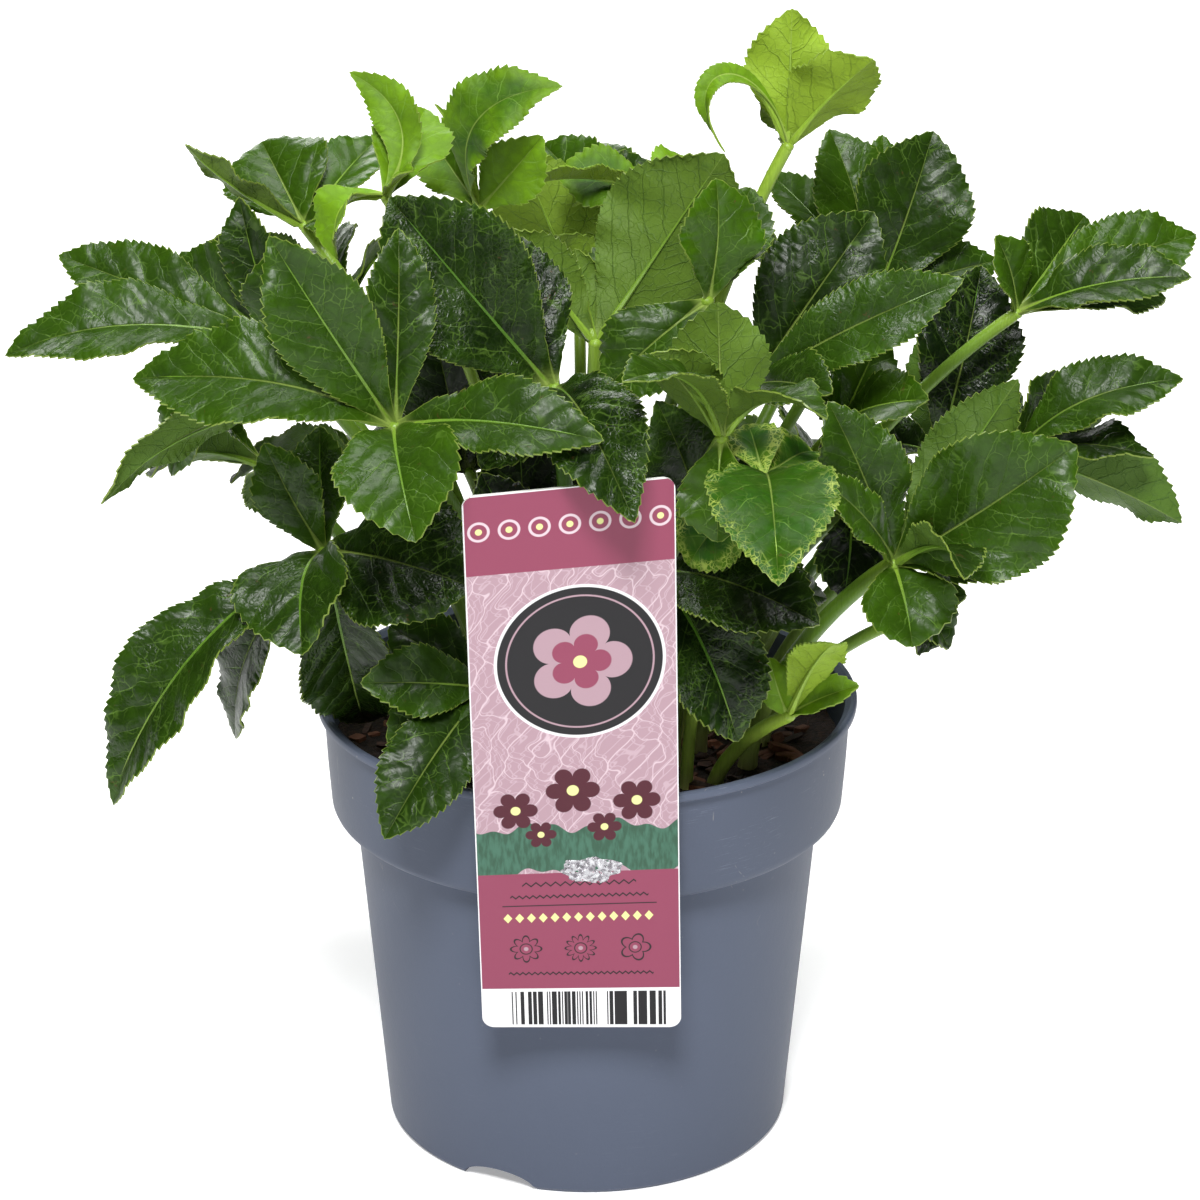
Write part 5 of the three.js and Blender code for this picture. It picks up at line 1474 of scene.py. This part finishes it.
    def rib(
        self, leaf: Leaf, leaflet: Leaflet, guides: Sequence[np.ndarray], across: np.ndarray
    ) -> bpy.types.Object:
        """Round rib under a leaflet, thick at the hub and fine towards the tip.

        Args:
            leaf: its leaf.
            leaflet: the leaflet.
            guides: guide points of its middle line.
            across: the way across it.

        Returns:
            The rib.
        """
        t = np.linspace(0, self.rib_end, 15)
        points, side, out = self.axes(leaflet, guides, across, t)
        radius = leaf.stalk * 0.5 * (1 - t) ** 2.2 + 0.16
        radius[[0, -1]] = 0.0
        sunk = radius * 0.5 + 0.2 + 0.25 * t
        return tube("rib", points - out * sunk[:, None], side, out, radius, 6)

    def stalk(self, spot: Settled, leaf: Leaf) -> bpy.types.Object:
        """Leaf stalk from the soil to the hub, thicker at its foot.

        Args:
            spot: where the leaf stands.
            leaf: the leaf.

        Returns:
            The stalk.
        """
        t = np.concatenate([[0.0, 0.002], np.linspace(0.02, 0.98, 31), [0.994, 1.0]])
        rise = spot.hub - spot.root
        bends = (np.array([0, 0, 0.34]), np.array([0.6, 0.6, 0.82]))
        points, ways = bezier([spot.root, *(spot.root + rise * bend for bend in bends), spot.hub], t)
        first = unit(np.cross(ways, np.array([0.0, 1.0, 0.02])))
        radius = leaf.stalk * (1.0 + 0.18 * np.exp(-t * 14) - 0.1 * t)
        radius[[0, -1]] = 0.0
        return tube("stalk", points, first, np.cross(ways, first), radius, 14)

    def hub(self, spot: Settled, leaf: Leaf) -> bpy.types.Object:
        """Swelling where the leaflets leave the stalk.

        Args:
            spot: where the leaf stands.
            leaf: the leaf.

        Returns:
            The swelling.
        """
        add = bpy.ops.mesh.primitive_uv_sphere_add
        radius = leaf.stalk * self.hub_swelling * MM
        made = primitive(add, "hub", segments=12, ring_count=8, radius=radius, location=tuple(spot.hub * MM))
        made.scale.z = self.hub_flat
        freeze(made)
        return made


# ------------------------------------------------------------------ pot and soil
def extrude(rise: float) -> None:
    """Draws the selected edges out, up by so many millimetres."""
    bpy.ops.mesh.extrude_edges_move(TRANSFORM_OT_translate={"value": (0, 0, rise * MM)})


def turned(name: str, profile: Sequence[Pair], segments: int) -> bpy.types.Object:
    """Draws a ring out along a profile that starts and ends on the axis.

    Args:
        name: name of the object.
        profile: (radius, height) in millimetres; the first and last radius are nought.
        segments: faces round.

    Returns:
        The closed form.
    """
    (_, below), (r, z), *rest, (_, above) = profile
    sizes = {"vertices": segments, "radius": r * MM, "location": (0, 0, z * MM)}
    made = primitive(bpy.ops.mesh.primitive_circle_add, name, fill_type="NOTHING", **sizes)
    freeze(made)
    bpy.ops.object.mode_set(mode="EDIT")
    bpy.ops.mesh.select_all(action="SELECT")
    for next_r, next_z in rest:
        extrude(next_z - z)
        bpy.ops.transform.resize(value=(next_r / r, next_r / r, 1.0))
        r, z = next_r, next_z
    extrude(above - z)
    bpy.ops.mesh.merge(type="CENTER")
    bpy.ops.mesh.select_all(action="DESELECT")
    work = bmesh.from_edit_mesh(made.data)
    for edge in work.edges:
        if edge.is_boundary:
            edge.select_set(True)
    bmesh.update_edit_mesh(made.data)
    extrude(below - profile[1][1])
    bpy.ops.mesh.merge(type="CENTER")
    bpy.ops.object.mode_set(mode="OBJECT")
    weld(made, outward=True, reach=0.001)
    return made


@dataclass
class NurseryPot:
    """Round nursery pot with a collar, a rolled lip, foot arches and drain holes; mm."""

    rim_r: float = 70.0
    height: float = 119.0
    step_z: float = 88.8
    collar_r: float = 66.7
    flare: float = 1.5
    lip: float = 2.4
    body_top_r: float = 60.6
    body_base_r: float = 52.9
    wall: float = 1.3
    floor_z: float = 2.0
    floor_thick: float = 1.4
    foot: float = 3.1
    pad_r: float = 15.0
    arches: int = 3
    arch_first: float = 244.0  # bearing of the first arch, degrees
    arch: Triple = (21.0, 4.4, 9.0)  # width, height and depth
    arch_inset: float = 2.2
    drains: int = 6
    drain_ring: float = 34.0
    drain: Triple = (3.6, 3.6, 6.0)  # radius across and along, then depth
    segments: int = 160
    rounding: float = 0.3

    def body_r(self, z: float) -> float:
        """Outer radius of the body at a height."""
        return self.body_base_r + (self.body_top_r - self.body_base_r) * z / self.step_z

    def profile(self) -> list[Pair]:
        """Outline of the pot, from the axis under the floor round to the axis above it.

        Returns:
            Radius and height by point, mm.
        """
        base, rim, collar, top = self.body_base_r, self.rim_r, self.collar_r, self.height
        flared = collar + self.flare
        floor_top = self.floor_z + self.floor_thick
        step, inside = self.step_z, self.step_z + self.wall
        lip = top - self.lip
        under = [(0, 0), (self.pad_r - 2, 0), (self.pad_r, self.floor_z)]
        under += [(base - self.foot - 0.9, self.floor_z), (base - self.foot, 0), (base - 0.9, 0)]
        body = [(self.body_r(z), z) for z in (1.2, 30, 60, step)]
        rounded = [(-2.2, 0.0), (-1.2, 0.25), (-0.5, 0.9), (-0.1, 1.8), (0.0, 2.8), (self.flare * 0.5, 13.0)]
        ledge = [(collar + out, step + up) for out, up in rounded]
        edge = [(flared, lip - 0.7), (rim - 0.5, lip), (rim - 0.1, lip + 0.35), (rim, lip + 0.8)]
        worn = ((0, 0.9), (0.2, 0.35), (0.7, 0), (1.5, 0), (2.0, 0.4))
        edge += [(rim - back, top - down) for back, down in worn]
        inner = [(flared - self.wall, top - 1.4), (flared - self.wall - 0.2, lip - 2)]
        inner += [(collar - self.wall, inside + 1.6), (collar - self.wall - 1.2, inside)]
        inner += [(self.body_r(z) - self.wall, z) for z in (inside, floor_top)]
        floor = [(self.pad_r - 1, floor_top), (self.pad_r - 3, self.floor_thick), (0, self.floor_thick)]
        return [*under, *body, *ledge, *edge, *inner, *floor]

    def cut(self, pot: bpy.types.Object, place: Triple, turn: Triple, size: Triple, sides: int) -> None:
        """Cuts one cylinder out of the pot.

        Args:
            pot: the pot.
            place: middle of the cylinder, mm.
            turn: its rotation, radians.
            size: its radius across and along, and its length, mm.
            sides: its faces round.
        """
        add = bpy.ops.mesh.primitive_cylinder_add
        spot = tuple(c * MM for c in place)
        cutter = primitive(add, "cutter", vertices=sides, radius=1, depth=1, location=spot, rotation=turn)
        cutter.scale = tuple(c * MM for c in size)
        freeze(cutter)
        apply(pot, "BOOLEAN", operation="DIFFERENCE", solver="EXACT", object=cutter)
        bpy.data.objects.remove(cutter)

    def build(self) -> list[bpy.types.Object]:
        """Turns the pot, cuts its arches and drain holes and rounds its edges.

        Returns:
            The finished pot.
        """
        pot = turned("nursery_pot", self.profile(), self.segments)
        wide, high, deep = self.arch
        far = self.body_base_r - self.foot - self.arch_inset + deep / 2
        lift = 0.4  # how far the middle of an arch is under the foot
        for i in range(self.arches):
            a = math.radians(self.arch_first + i * 360 / self.arches)
            place = (far * math.cos(a), far * math.sin(a), -lift)
            self.cut(pot, place, (math.pi / 2, 0, a + math.pi / 2), (wide / 2, high + lift, deep), 40)
        for i in range(self.drains):
            a = (i + 0.5) * TURN / self.drains
            place = (self.drain_ring * math.cos(a), self.drain_ring * math.sin(a), self.drain[2] / 2)
            self.cut(pot, place, (0, 0, 0), self.drain, 32)
        bevel = {"limit_method": "ANGLE", "angle_limit": math.radians(32), "segments": 2}
        apply(pot, "BEVEL", **bevel, width=self.rounding * MM, harden_normals=False)
        finished(pot, [PotPlastic().make()], 30.0)
        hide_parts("pot")
        return [pot]


@dataclass
class PottingSoil:
    """Crumbly peat that fills the pot, with bark chips and fibres on it; mm."""

    pot: NurseryPot
    top: float = 107.0
    gap: float = 0.6
    ring_step: float = 1.3
    chips: int = 250
    chip_sizes: tuple[Pair, ...] = ((2.0, 9.5), (1.2, 4.2), (0.7, 2.2))
    fibres: int = 130
    fibre_sizes: tuple[Pair, ...] = ((5.0, 13.0), (0.3, 0.6), (0.3, 0.9))
    clear: float = 4.5  # from the collar to the outermost chips
    tilt: float = 0.28  # spread of their slant, radians
    ragged: float = 0.09
    above: float = 0.25  # how far up a chip's middle lies, per height
    rng: np.random.Generator = field(default_factory=lambda: np.random.default_rng(21))

    def level(self, x: float, y: float) -> float:
        """Height of the soil's surface at a place, mm.

        Args:
            x: across.
            y: away from the front.

        Returns:
            The height.
        """
        spot = Vector((x * 0.09, y * 0.09, 0.0))
        crumbs = noise.fractal(spot * 3.0, 0.8, 2.2, 4) * 0.9
        return self.top - 0.6 + noise.noise(spot * 0.6) * 2.0 + crumbs

    def ground(self) -> bpy.types.Object:
        """Models the body of soil.

        Returns:
            The finished body.
        """
        pot, inner = self.pot, self.pot.wall + self.gap
        bottom = pot.floor_z + pot.floor_thick + self.gap
        step = pot.step_z + pot.wall + self.gap
        outside = pot.collar_r + 0.6 - inner
        rings = [(r, self.top) for r in np.arange(outside, self.ring_step * 0.6, -self.ring_step)]
        profile = [(0, bottom), (pot.body_r(bottom) - inner, bottom), (pot.body_r(step) - inner, step)]
        profile += [(pot.collar_r - inner - 1.2, step), *rings, (0, self.top)]
        soil = turned("potting_soil", profile, 96)
        points = points_of(soil)
        for point in points:
            if point[2] > self.top - 0.01:
                point[2] = self.level(point[0], point[1])
        shape(soil, points)
        finished(soil, [Peat().make()], 60.0)
        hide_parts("soil")
        return soil

    def scattered(self, model: bpy.types.Object, count: int, sizes: Sequence[Pair]) -> list[bpy.types.Object]:
        """Copies a small form over the soil, each with its own size, turn and tone.

        Args:
            model: the form, one millimetre long a side.
            count: how many.
            sizes: smallest and largest size along x, y and z, mm.

        Returns:
            The copies.
        """
        rng = self.rng
        base = points_of(model)
        copies = []
        for _ in range(count):
            size = np.array([rng.uniform(*span) for span in sizes])
            far = (self.pot.collar_r - self.clear - size[0] / 2) * math.sqrt(rng.uniform(0.0, 1.0))
            turn = rng.uniform(0, TURN)
            x, y = far * math.cos(turn), far * math.sin(turn)
            a, b = rng.uniform(0, TURN), rng.normal(0, self.tilt)
            flat = np.array([[math.cos(a), math.sin(a), 0], [-math.sin(a), math.cos(a), 0], [0, 0, 1]])
            tilt = np.array([[math.cos(b), 0, math.sin(b)], [0, 1, 0], [-math.sin(b), 0, math.cos(b)]])
            ragged = base * size * (1 + rng.normal(0, self.ragged, base.shape))
            copy = model.copy()
            copy.data = model.data.copy()
            bpy.context.collection.objects.link(copy)
            lift = self.level(x, y) + size[2] * self.above
            shape(copy, ragged @ tilt @ flat + np.array([x, y, lift]))
            keep(copy, "tone", np.full(len(base), rng.random() ** 1.5))
            copies.append(copy)
        bpy.data.objects.remove(model)
        return copies

    def chip(self) -> bpy.types.Object:
        """A block with worn edges, one millimetre a side.

        Returns:
            The block.
        """
        block = primitive(bpy.ops.mesh.primitive_cube_add, "chip", size=MM)
        apply(block, "BEVEL", width=0.16 * MM, segments=1, affect="EDGES")
        return block

    def fibre(self) -> bpy.types.Object:
        """A curved thread, one millimetre long.

        Returns:
            The thread.
        """
        t = np.linspace(-0.5, 0.5, 6)
        curve = np.stack([t, 0.12 * np.cos(t * 5), 0.3 * np.cos(t * 3.1)], axis=-1)
        ones = np.ones((6, 1))
        radius = np.array([0.0, 0.45, 0.5, 0.5, 0.4, 0.0])
        return tube("fibre", curve, ones * [0.0, 1.0, 0.0], ones * [0.0, 0.0, 1.0], radius, 4)

    def build(self) -> list[bpy.types.Object]:
        """Models the soil with its chips and fibres.

        Returns:
            The finished pieces.
        """
        ground = self.ground()
        chips = self.scattered(self.chip(), self.chips, self.chip_sizes)
        fibres = self.scattered(self.fibre(), self.fibres, self.fibre_sizes)
        litter = join([*chips, *fibres], "bark_chips")
        finished(litter, [Bark().make()], 30.0)
        return [ground, litter]


# ------------------------------------------------------------------ label
Layer = tuple[Value, "Value | tuple"]  # where some ink is printed, and its colour


@dataclass(frozen=True)
class CardPrint:
    """Printed front of the card: plain bands and made-up ornament, in millimetres."""

    size: Pair = (49.7, 149.0)
    wine: tuple = paint(130, 58, 82)
    rose: tuple = paint(160, 132, 142)
    rose_line: tuple = paint(200, 180, 188)
    coal: tuple = paint(22, 21, 24)
    white: tuple = paint(222, 221, 223)
    petal: tuple = paint(70, 20, 34)
    leaf: tuple = paint(60, 100, 82)
    leaf_dark: tuple = paint(44, 78, 60)
    cream: tuple = paint(214, 214, 142)
    blurred: float = 0.08  # half width of a printed edge
    foot: float = 11.5  # heights where the bands meet
    meadow: float = 45.0
    top: float = 128.0
    roundel: Pair = (26.5, 103.0)
    row: float = 139.5  # height of the row of rings, and their pitch
    row_pitch: float = 7.1
    lozenges: Pair = (32.2, 2.9)  # height and pitch
    outlined_up: float = 23.2
    blooms: tuple = (  # across, up and radius
        (10.0, 63.0, 5.4), (24.0, 68.0, 6.6), (39.5, 64.5, 5.8), (31.5, 57.5, 4.2), (16.0, 56.0, 3.8),
    )
    zigzags: tuple = (  # up, pitch, left end and right end
        (41.3, 2.4, 11.0, 39.0), (37.9, 1.7, 8.0, 42.0), (15.6, 1.5, 7.0, 43.0),
    )
    outlined: tuple = ((11.5, 8.0), (25.0, 12.0), (38.5, 5.0))  # across and number of points

    def band(self, y: Value, low: float, high: float) -> Value:
        """One between two heights on the card, else nought."""
        above = y.rise(low - self.blurred, low + self.blurred, False)
        return above * self.under(y, high - self.blurred, high + self.blurred)

    def ring(self, away: Value, radius: float, line: float) -> Value:
        """A thin ring about a centre."""
        return self.under(abs(away - radius), line - self.blurred, line + self.blurred)

    def under(self, value: Value, low: float, high: float) -> Value:
        """One where a value is under the low limit, nought over the high one."""
        return 1.0 - value.rise(low, high, False)

    def petals(self, x: Value, y: Value, count: float) -> Value:
        """Swings between 0 and 1 round a centre, so many times."""
        return abs((y.bearing(x) * (count / 2.0)).cosine())

    def flower(self, x: Value, y: Value, r: float, count: int, ink: tuple) -> list[Layer]:
        """Rosette with a round eye.

        Args:
            x: across from its middle.
            y: up from its middle.
            r: its radius.
            count: number of petals.
            ink: their colour.

        Returns:
            Its layers.
        """
        away = self.distance(x, y)
        reach = self.petals(x, y, count) ** 0.6 * (0.42 * r) + 0.58 * r
        eye = 0.22 * r
        petal = self.under(away - reach, -0.12, 0.12)
        return [(petal, ink), (self.under(away, eye - 0.1, eye + 0.1), self.cream)]

    def distance(self, x: Value, y: Value) -> Value:
        """How far a place is from the middle that it is measured from."""
        return (x * x + y * y) ** 0.5

    def lines(self, x: Value, y: Value) -> list[Layer]:
        """Two patterns of fine wandering lines over the rose ground.

        Args:
            x: across the card.
            y: up the card.

        Returns:
            Its layers, the lowest first.
        """
        g = x.graph
        layers = []
        drift = (g.noise(g.vector(x, y), 0.07) - 0.5) * 22.0
        for pitch, bend, strength in ((6.6, 1.7, 0.8), (2.9, 1.1, 0.35)):
            wave = ((y + drift) * (3.4 / pitch)).sine() * bend
            one = abs(((x + drift + wave) / pitch).fraction() - 0.5)
            two = abs(((x + drift - wave) / pitch + 0.5).fraction() - 0.5)
            line = self.under(one.least(two), 0.1 / pitch, 0.26 / pitch)
            layers.append((line * strength, self.rose_line))
        return layers

    def top_field(self, x: Value, y: Value) -> list[Layer]:
        """Upper wine field with a row of rings.

        Args:
            x: across the card.
            y: up the card.

        Returns:
            Its layers, the lowest first.
        """
        pitch = self.row_pitch
        from_row = self.distance((x / pitch).fraction() * pitch - pitch / 2, y - self.row)
        return [
            (self.band(y, self.top, self.size[1]), self.wine),
            (self.ring(from_row, 2.3, 0.32), self.rose_line),
            (self.under(from_row, 0.7, 0.9), self.cream),
        ]

    def middle(self, x: Value, y: Value) -> list[Layer]:
        """Dark roundel with a rosette in another one.

        Args:
            x: across the card.
            y: up the card.

        Returns:
            Its layers, the lowest first.
        """
        x, y = x - self.roundel[0], y - self.roundel[1]
        away = self.distance(x, y)
        return [
            (self.under(away, 20.4, 20.6), self.white),
            (self.under(away, 19.7, 19.9), self.coal),
            *self.flower(x, y, 12.5, 5, self.rose),
            *self.flower(x, y, 7.5, 5, self.wine),
            (self.ring(away, 17.6, 0.22), self.rose),
        ]

    def spray(self, x: Value, y: Value) -> list[Layer]:
        """Dark rosettes over a green band.

        Args:
            x: across the card.
            y: up the card.

        Returns:
            Its layers, the lowest first.
        """
        g = x.graph
        hill = (x * 0.32).sine() * 1.2 + (x * 0.83 + 1.0).sine() * 0.7
        tuft = g.noise(g.vector(x * 0.9, y * 0.22), 1.0).rise(0.35, 0.65)
        green = g.mix(tuft, self.leaf, self.leaf_dark)
        layers = [(self.band(y + hill, self.meadow, self.meadow + 13.0), green)]
        for across, up, r in self.blooms:
            layers += self.flower(x - across, y - up, r, 6, self.petal)
        return layers

    def low_field(self, x: Value, y: Value) -> list[Layer]:
        """Lower wine field: zigzags, a rule, a row of lozenges and three outlined ornaments.

        Args:
            x: across the card.
            y: up the card.

        Returns:
            Its layers, the lowest first.
        """
        layers = [(self.band(y, self.foot, self.meadow), self.wine)]
        for up, pitch, left, right in self.zigzags:
            zigzag = abs((x / pitch).fraction() - 0.5) * (pitch * 0.9)
            line = self.under(abs(y - up - zigzag), 0.16, 0.3)
            layers.append((line * self.band(x, left, right), self.coal))
        layers.append((self.band(y, 35.6, 35.9) * self.band(x, 6.0, 44.0), self.coal))
        up, pitch = self.lozenges
        lozenge = abs((x / pitch).fraction() * pitch - pitch / 2) + abs(y - up) * 0.8
        layers.append((self.under(lozenge, 1.0, 1.15) * self.band(x, 5.8, 43.5), self.cream))
        for across, points in self.outlined:
            from_x, from_y = x - across, y - self.outlined_up
            away = self.distance(from_x, from_y)
            reach = self.petals(from_x, from_y, points) * 1.5 + 2.3
            layers.append((self.under(abs(away - reach), 0.16, 0.32), self.coal))
            layers.append((self.ring(away, 1.5, 0.14), self.coal))
            layers.append((self.under(away, 0.5, 0.65), self.rose))
        return layers

    def plain_foot(self, x: Value, y: Value) -> list[Layer]:
        """White foot with plain stripes of chance widths, and a thin unprinted edge all round.

        Args:
            x: across the card.
            y: up the card.

        Returns:
            Its layers, the lowest first.
        """
        g = x.graph
        width, height = self.size
        stripe = g.noise(g.vector((x * 3.2).whole() * 7.31, 0.5), 1.0).rise(0.465, 0.47, False)
        inner = x.least(width - x).least(y).least(height - y)
        return [
            (self.band(y, -1.0, self.foot), self.white),
            (stripe * (self.band(y, 0.8, 10.6) * self.band(x, 7.5, 46.0)), self.coal),
            (self.under(inner, 0.22, 0.32), self.white),
        ]

    def make(self) -> bpy.types.Material:
        """Makes the material.

        Returns:
            The material.
        """
        g = Graph("card_print")
        x, y, _ = g.parts(g.map("card_mm"))
        colour = self.rose
        for part in (self.lines, self.top_field, self.middle, self.spray, self.low_field, self.plain_foot):
            for mask, ink in part(x, y):
                colour = g.mix(mask, colour, ink)
        weave = g.noise(g.vector(x, y), 4.0)
        return g.finish(colour, weave * 0.08 + 0.3, None, {"IOR": 1.34})


@dataclass(frozen=True)
class WhitePlastic:
    """Plain white card stock, for the back and edges, or the hook strip."""

    name: str
    base: tuple = paint(236, 235, 232)
    roughness: float = 0.38

    def make(self) -> bpy.types.Material:
        """Makes the material.

        Returns:
            The material.
        """
        g = Graph(self.name)
        cloud = g.noise(g.place(), 0.05, 3.0)
        return g.finish(g.times(self.base, cloud * 0.08 + 0.95), cloud * 0.1 + self.roughness)


@dataclass(frozen=True)
class WeldFinish:
    """Crumpled silvery spot where the card is pressed onto its hook."""

    silver: tuple = paint(214, 214, 218)
    shade: tuple = paint(120, 116, 122)

    def make(self) -> bpy.types.Material:
        """Makes the material.

        Returns:
            The material.
        """
        g = Graph("weld_spot")
        crumple = g.noise(g.place(), 0.8, 4.0, 0.7)
        colour = g.mix(crumple.rise(0.35, 0.65), self.shade, self.silver)
        return g.finish(colour, crumple * 0.3 + 0.12, crumple * 0.8, {"Metallic": 0.75})


@dataclass
class Label:
    """Hanging card with its hook strip and weld spot; mm."""

    low_left: Triple = (-26.0, -67.0, 56.0)
    low_right: Triple = (23.5, -67.0, 56.0)
    top_left: Triple = (-29.0, -87.5, 204.0)
    top_right: Triple = (20.5, -76.0, 205.0)
    thick: float = 0.7
    corner: float = 3.0
    columns: int = 17
    rows: int = 49
    spot: tuple = (0.56, 0.307, 15.0, 6.5)  # across and up as shares, then width and height
    spot_grid: tuple[int, int] = (41, 21)
    spot_thick: float = 0.12
    front: CardPrint = CardPrint()

    def surface(self, u: np.ndarray, v: np.ndarray) -> np.ndarray:
        """Points of the card's middle surface.

        Args:
            u: share of the width, from the left.
            v: share of the height, from below.

        Returns:
            The points, mm.
        """
        low = np.array(self.low_left) * (1 - u)[..., None] + np.array(self.low_right) * u[..., None]
        top = np.array(self.top_left) * (1 - u)[..., None] + np.array(self.top_right) * u[..., None]
        return low * (1 - v)[..., None] + top * v[..., None]

    def card(self) -> bpy.types.Object:
        """Models the card, a thin sheet with round corners.

        Returns:
            The finished card.
        """
        width, height = self.front.size
        r = self.corner
        steps = r * np.array([0.0, 0.12, 0.3, 0.55, 0.8])
        x = np.concatenate([steps, np.linspace(r, width - r, self.columns), width - steps[::-1]])
        y = np.concatenate([steps, np.linspace(r, height - r, self.rows), height - steps[::-1]])
        gx, gy = np.meshgrid(x, y)
        cx, cy = np.clip(gx, r, width - r), np.clip(gy, r, height - r)
        dx, dy = gx - cx, gy - cy
        long, far = np.maximum(np.abs(dx), np.abs(dy)), np.hypot(dx, dy)
        pull = np.divide(long, far, out=np.ones_like(far), where=far > 0)
        gx, gy = cx + dx * pull, cy + dy * pull
        card = grid("hanging_card", len(x), len(y))
        shape(card, self.surface(gx / width, gy / height).reshape(-1, 3))
        lay_map(card, "card_mm", np.stack([gx, gy], axis=-1).reshape(-1, 2))
        sides = {Side.FRONT: self.front.make(), Side.BACK: WhitePlastic("card_back").make()}
        thicken(card, self.thick, sides, material_offset_rim=Side.BACK.value)
        finished(card, [], 40.0)
        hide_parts("label_card")
        return card

    def weld_spot(self) -> bpy.types.Object:
        """Models the thin crumpled patch on the front of the card.

        Returns:
            The finished patch.
        """
        u, v, wide, high = self.spot
        width, height = self.front.size
        columns, rows = self.spot_grid
        patch = grid("weld_spot", columns, rows)
        a, b = np.meshgrid(np.linspace(-1, 1, columns), np.linspace(-1, 1, rows))
        round_it = np.maximum(np.abs(a), np.abs(b)) / np.maximum(np.hypot(a, b), 1e-9)
        a, b = a * round_it, b * round_it
        rim = np.hypot(a, b)
        ragged = self.sample(a, b, lambda p, q: noise.noise(Vector((p * 2.2, q * 1.6, 3.0))))
        a, b = a * (1 + 0.28 * ragged * rim), b * (1 + 0.4 * ragged * rim)
        points = self.surface(u + a * wide / 2 / width, v + b * high / 2 / height)
        bumps = self.sample(a, b, lambda p, q: noise.fractal(Vector((p * 5, q * 3.4, 0.7)), 0.8, 2.1, 3))
        rise = np.clip(1.15 - rim, 0, 0.4) * (0.75 + 0.9 * bumps)
        points[..., 1] -= self.thick / 2 - 0.1 + np.clip(rise, 0.02, 0.8)
        shape(patch, points.reshape(-1, 3))
        apply(patch, "SOLIDIFY", thickness=self.spot_thick * MM, offset=-1.0)
        return finished(patch, [WeldFinish().make()], 60.0)

    def sample(self, a: np.ndarray, b: np.ndarray, at: Callable[[float, float], float]) -> np.ndarray:
        """A function's values over a grid of places."""
        return np.array([[at(p, q) for p, q in zip(*row)] for row in zip(a, b)])

    def build(self) -> list[bpy.types.Object]:
        """Models the card and its weld spot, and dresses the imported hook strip.

        Returns:
            The new pieces.
        """
        hook = frame["nodes"]["label_clip"]
        strip = WhitePlastic("hook_strip", paint(222, 223, 224), 0.3).make()
        for slot in hook.material_slots:
            slot.material = strip
        return [self.card(), self.weld_spot()]


# ------------------------------------------------------------------ studio
@dataclass(frozen=True)
class Lamp:
    """A soft square light that looks at the plant; metres and watts."""

    name: str
    place: Triple
    size: float
    power: float
    target: Triple = (0.0, 0.0, 0.15)

    def build(self) -> None:
        """Hangs the light."""
        lamp = bpy.data.lights.new(self.name, "AREA")
        lamp.size = self.size
        lamp.energy = self.power
        thing = bpy.data.objects.new(self.name, lamp)
        bpy.context.collection.objects.link(thing)
        thing.location = self.place
        thing.rotation_euler = (Vector(self.target) - Vector(self.place)).to_track_quat("-Z", "Y").to_euler()


@dataclass
class Studio:
    """Pale floor, soft lights and the camera."""

    view: FrontView = FrontView()
    floor: tuple = paint(246, 246, 246)
    floor_size: float = 8.0  # metres
    world: float = 0.02
    glow: tuple = (paint(152, 152, 152), paint(240, 240, 240))  # near the pot and far away
    glow_far: Pair = (600.0, 2600.0)  # mm
    lamps: tuple[Lamp, ...] = (
        Lamp("key", (-0.1, -1.35, 1.75), 0.5, 54.0),
        Lamp("fill", (0.5, -1.7, 0.7), 0.6, 3.0),
        Lamp("top", (0.2, 0.2, 1.8), 0.8, 22.0),
        Lamp("back", (-0.5, 1.6, 1.2), 0.9, 20.0),
    )
    lens: float = 3934.0  # focal length and middle of the picture, in view units
    middle: Pair = (587.0, 600.0)
    sensor: float = 36.0

    def ground(self) -> None:
        """Lays the floor, which glows a little so that it stays pale."""
        g = Graph("studio_floor")
        place = g.place()
        x, y, _ = g.parts(place)
        far = (x * x + y * y) ** 0.5
        constants = {"Emission Color": g.mix(far.rise(*self.glow_far), *self.glow), "Emission Strength": 1.0}
        g.finish(g.times(self.floor, g.noise(place, 0.002) * 0.02 + 0.99), 0.9, None, constants)
        floor = primitive(bpy.ops.mesh.primitive_plane_add, "floor", size=self.floor_size)
        floor.data.materials.append(g.material)

    def surroundings(self) -> None:
        """Sets a faint even light from all sides."""
        world = bpy.data.worlds.new("studio")
        bpy.context.scene.world = world
        world.use_nodes = True
        background = world.node_tree.nodes["Background"]
        background.inputs["Color"].default_value = (1, 1, 1, 1)
        background.inputs["Strength"].default_value = self.world

    def camera(self) -> None:
        """Adds the camera, at the eye of the front view."""
        view = self.view
        lens = bpy.data.cameras.new("camera")
        lens.sensor_width = self.sensor
        lens.lens = self.lens / view.frame * self.sensor
        lens.shift_x = (view.frame / 2 - self.middle[0]) / view.frame
        lens.shift_y = (self.middle[1] - view.frame / 2) / view.frame
        lens.clip_start, lens.clip_end = 0.05, 30.0
        camera = bpy.data.objects.new("camera", lens)
        bpy.context.collection.objects.link(camera)
        camera.location = (0.0, view.y * MM, view.z * MM)
        camera.rotation_euler = (math.pi / 2 - view.pitch, 0.0, 0.0)
        bpy.context.scene.camera = camera

    def build(self) -> None:
        """Sets the floor, the world, the lights and the camera."""
        self.ground()
        self.surroundings()
        for lamp in self.lamps:
            lamp.build()
        self.camera()
        bpy.context.scene.view_settings.view_transform = "Standard"


def main() -> None:
    """Builds the plant in its pot and reports each piece, then builds the studio."""
    logging.basicConfig(level=logging.INFO, format="%(message)s")
    pot = NurseryPot()
    for maker in (pot, PottingSoil(pot), Label(), Foliage()):
        for piece in maker.build():
            triangles = sum(len(face.vertices) - 2 for face in piece.data.polygons)
            log.info("%s: %d triangles", piece.name, triangles)
    Studio().build()


if __name__ == "__main__":
    main()
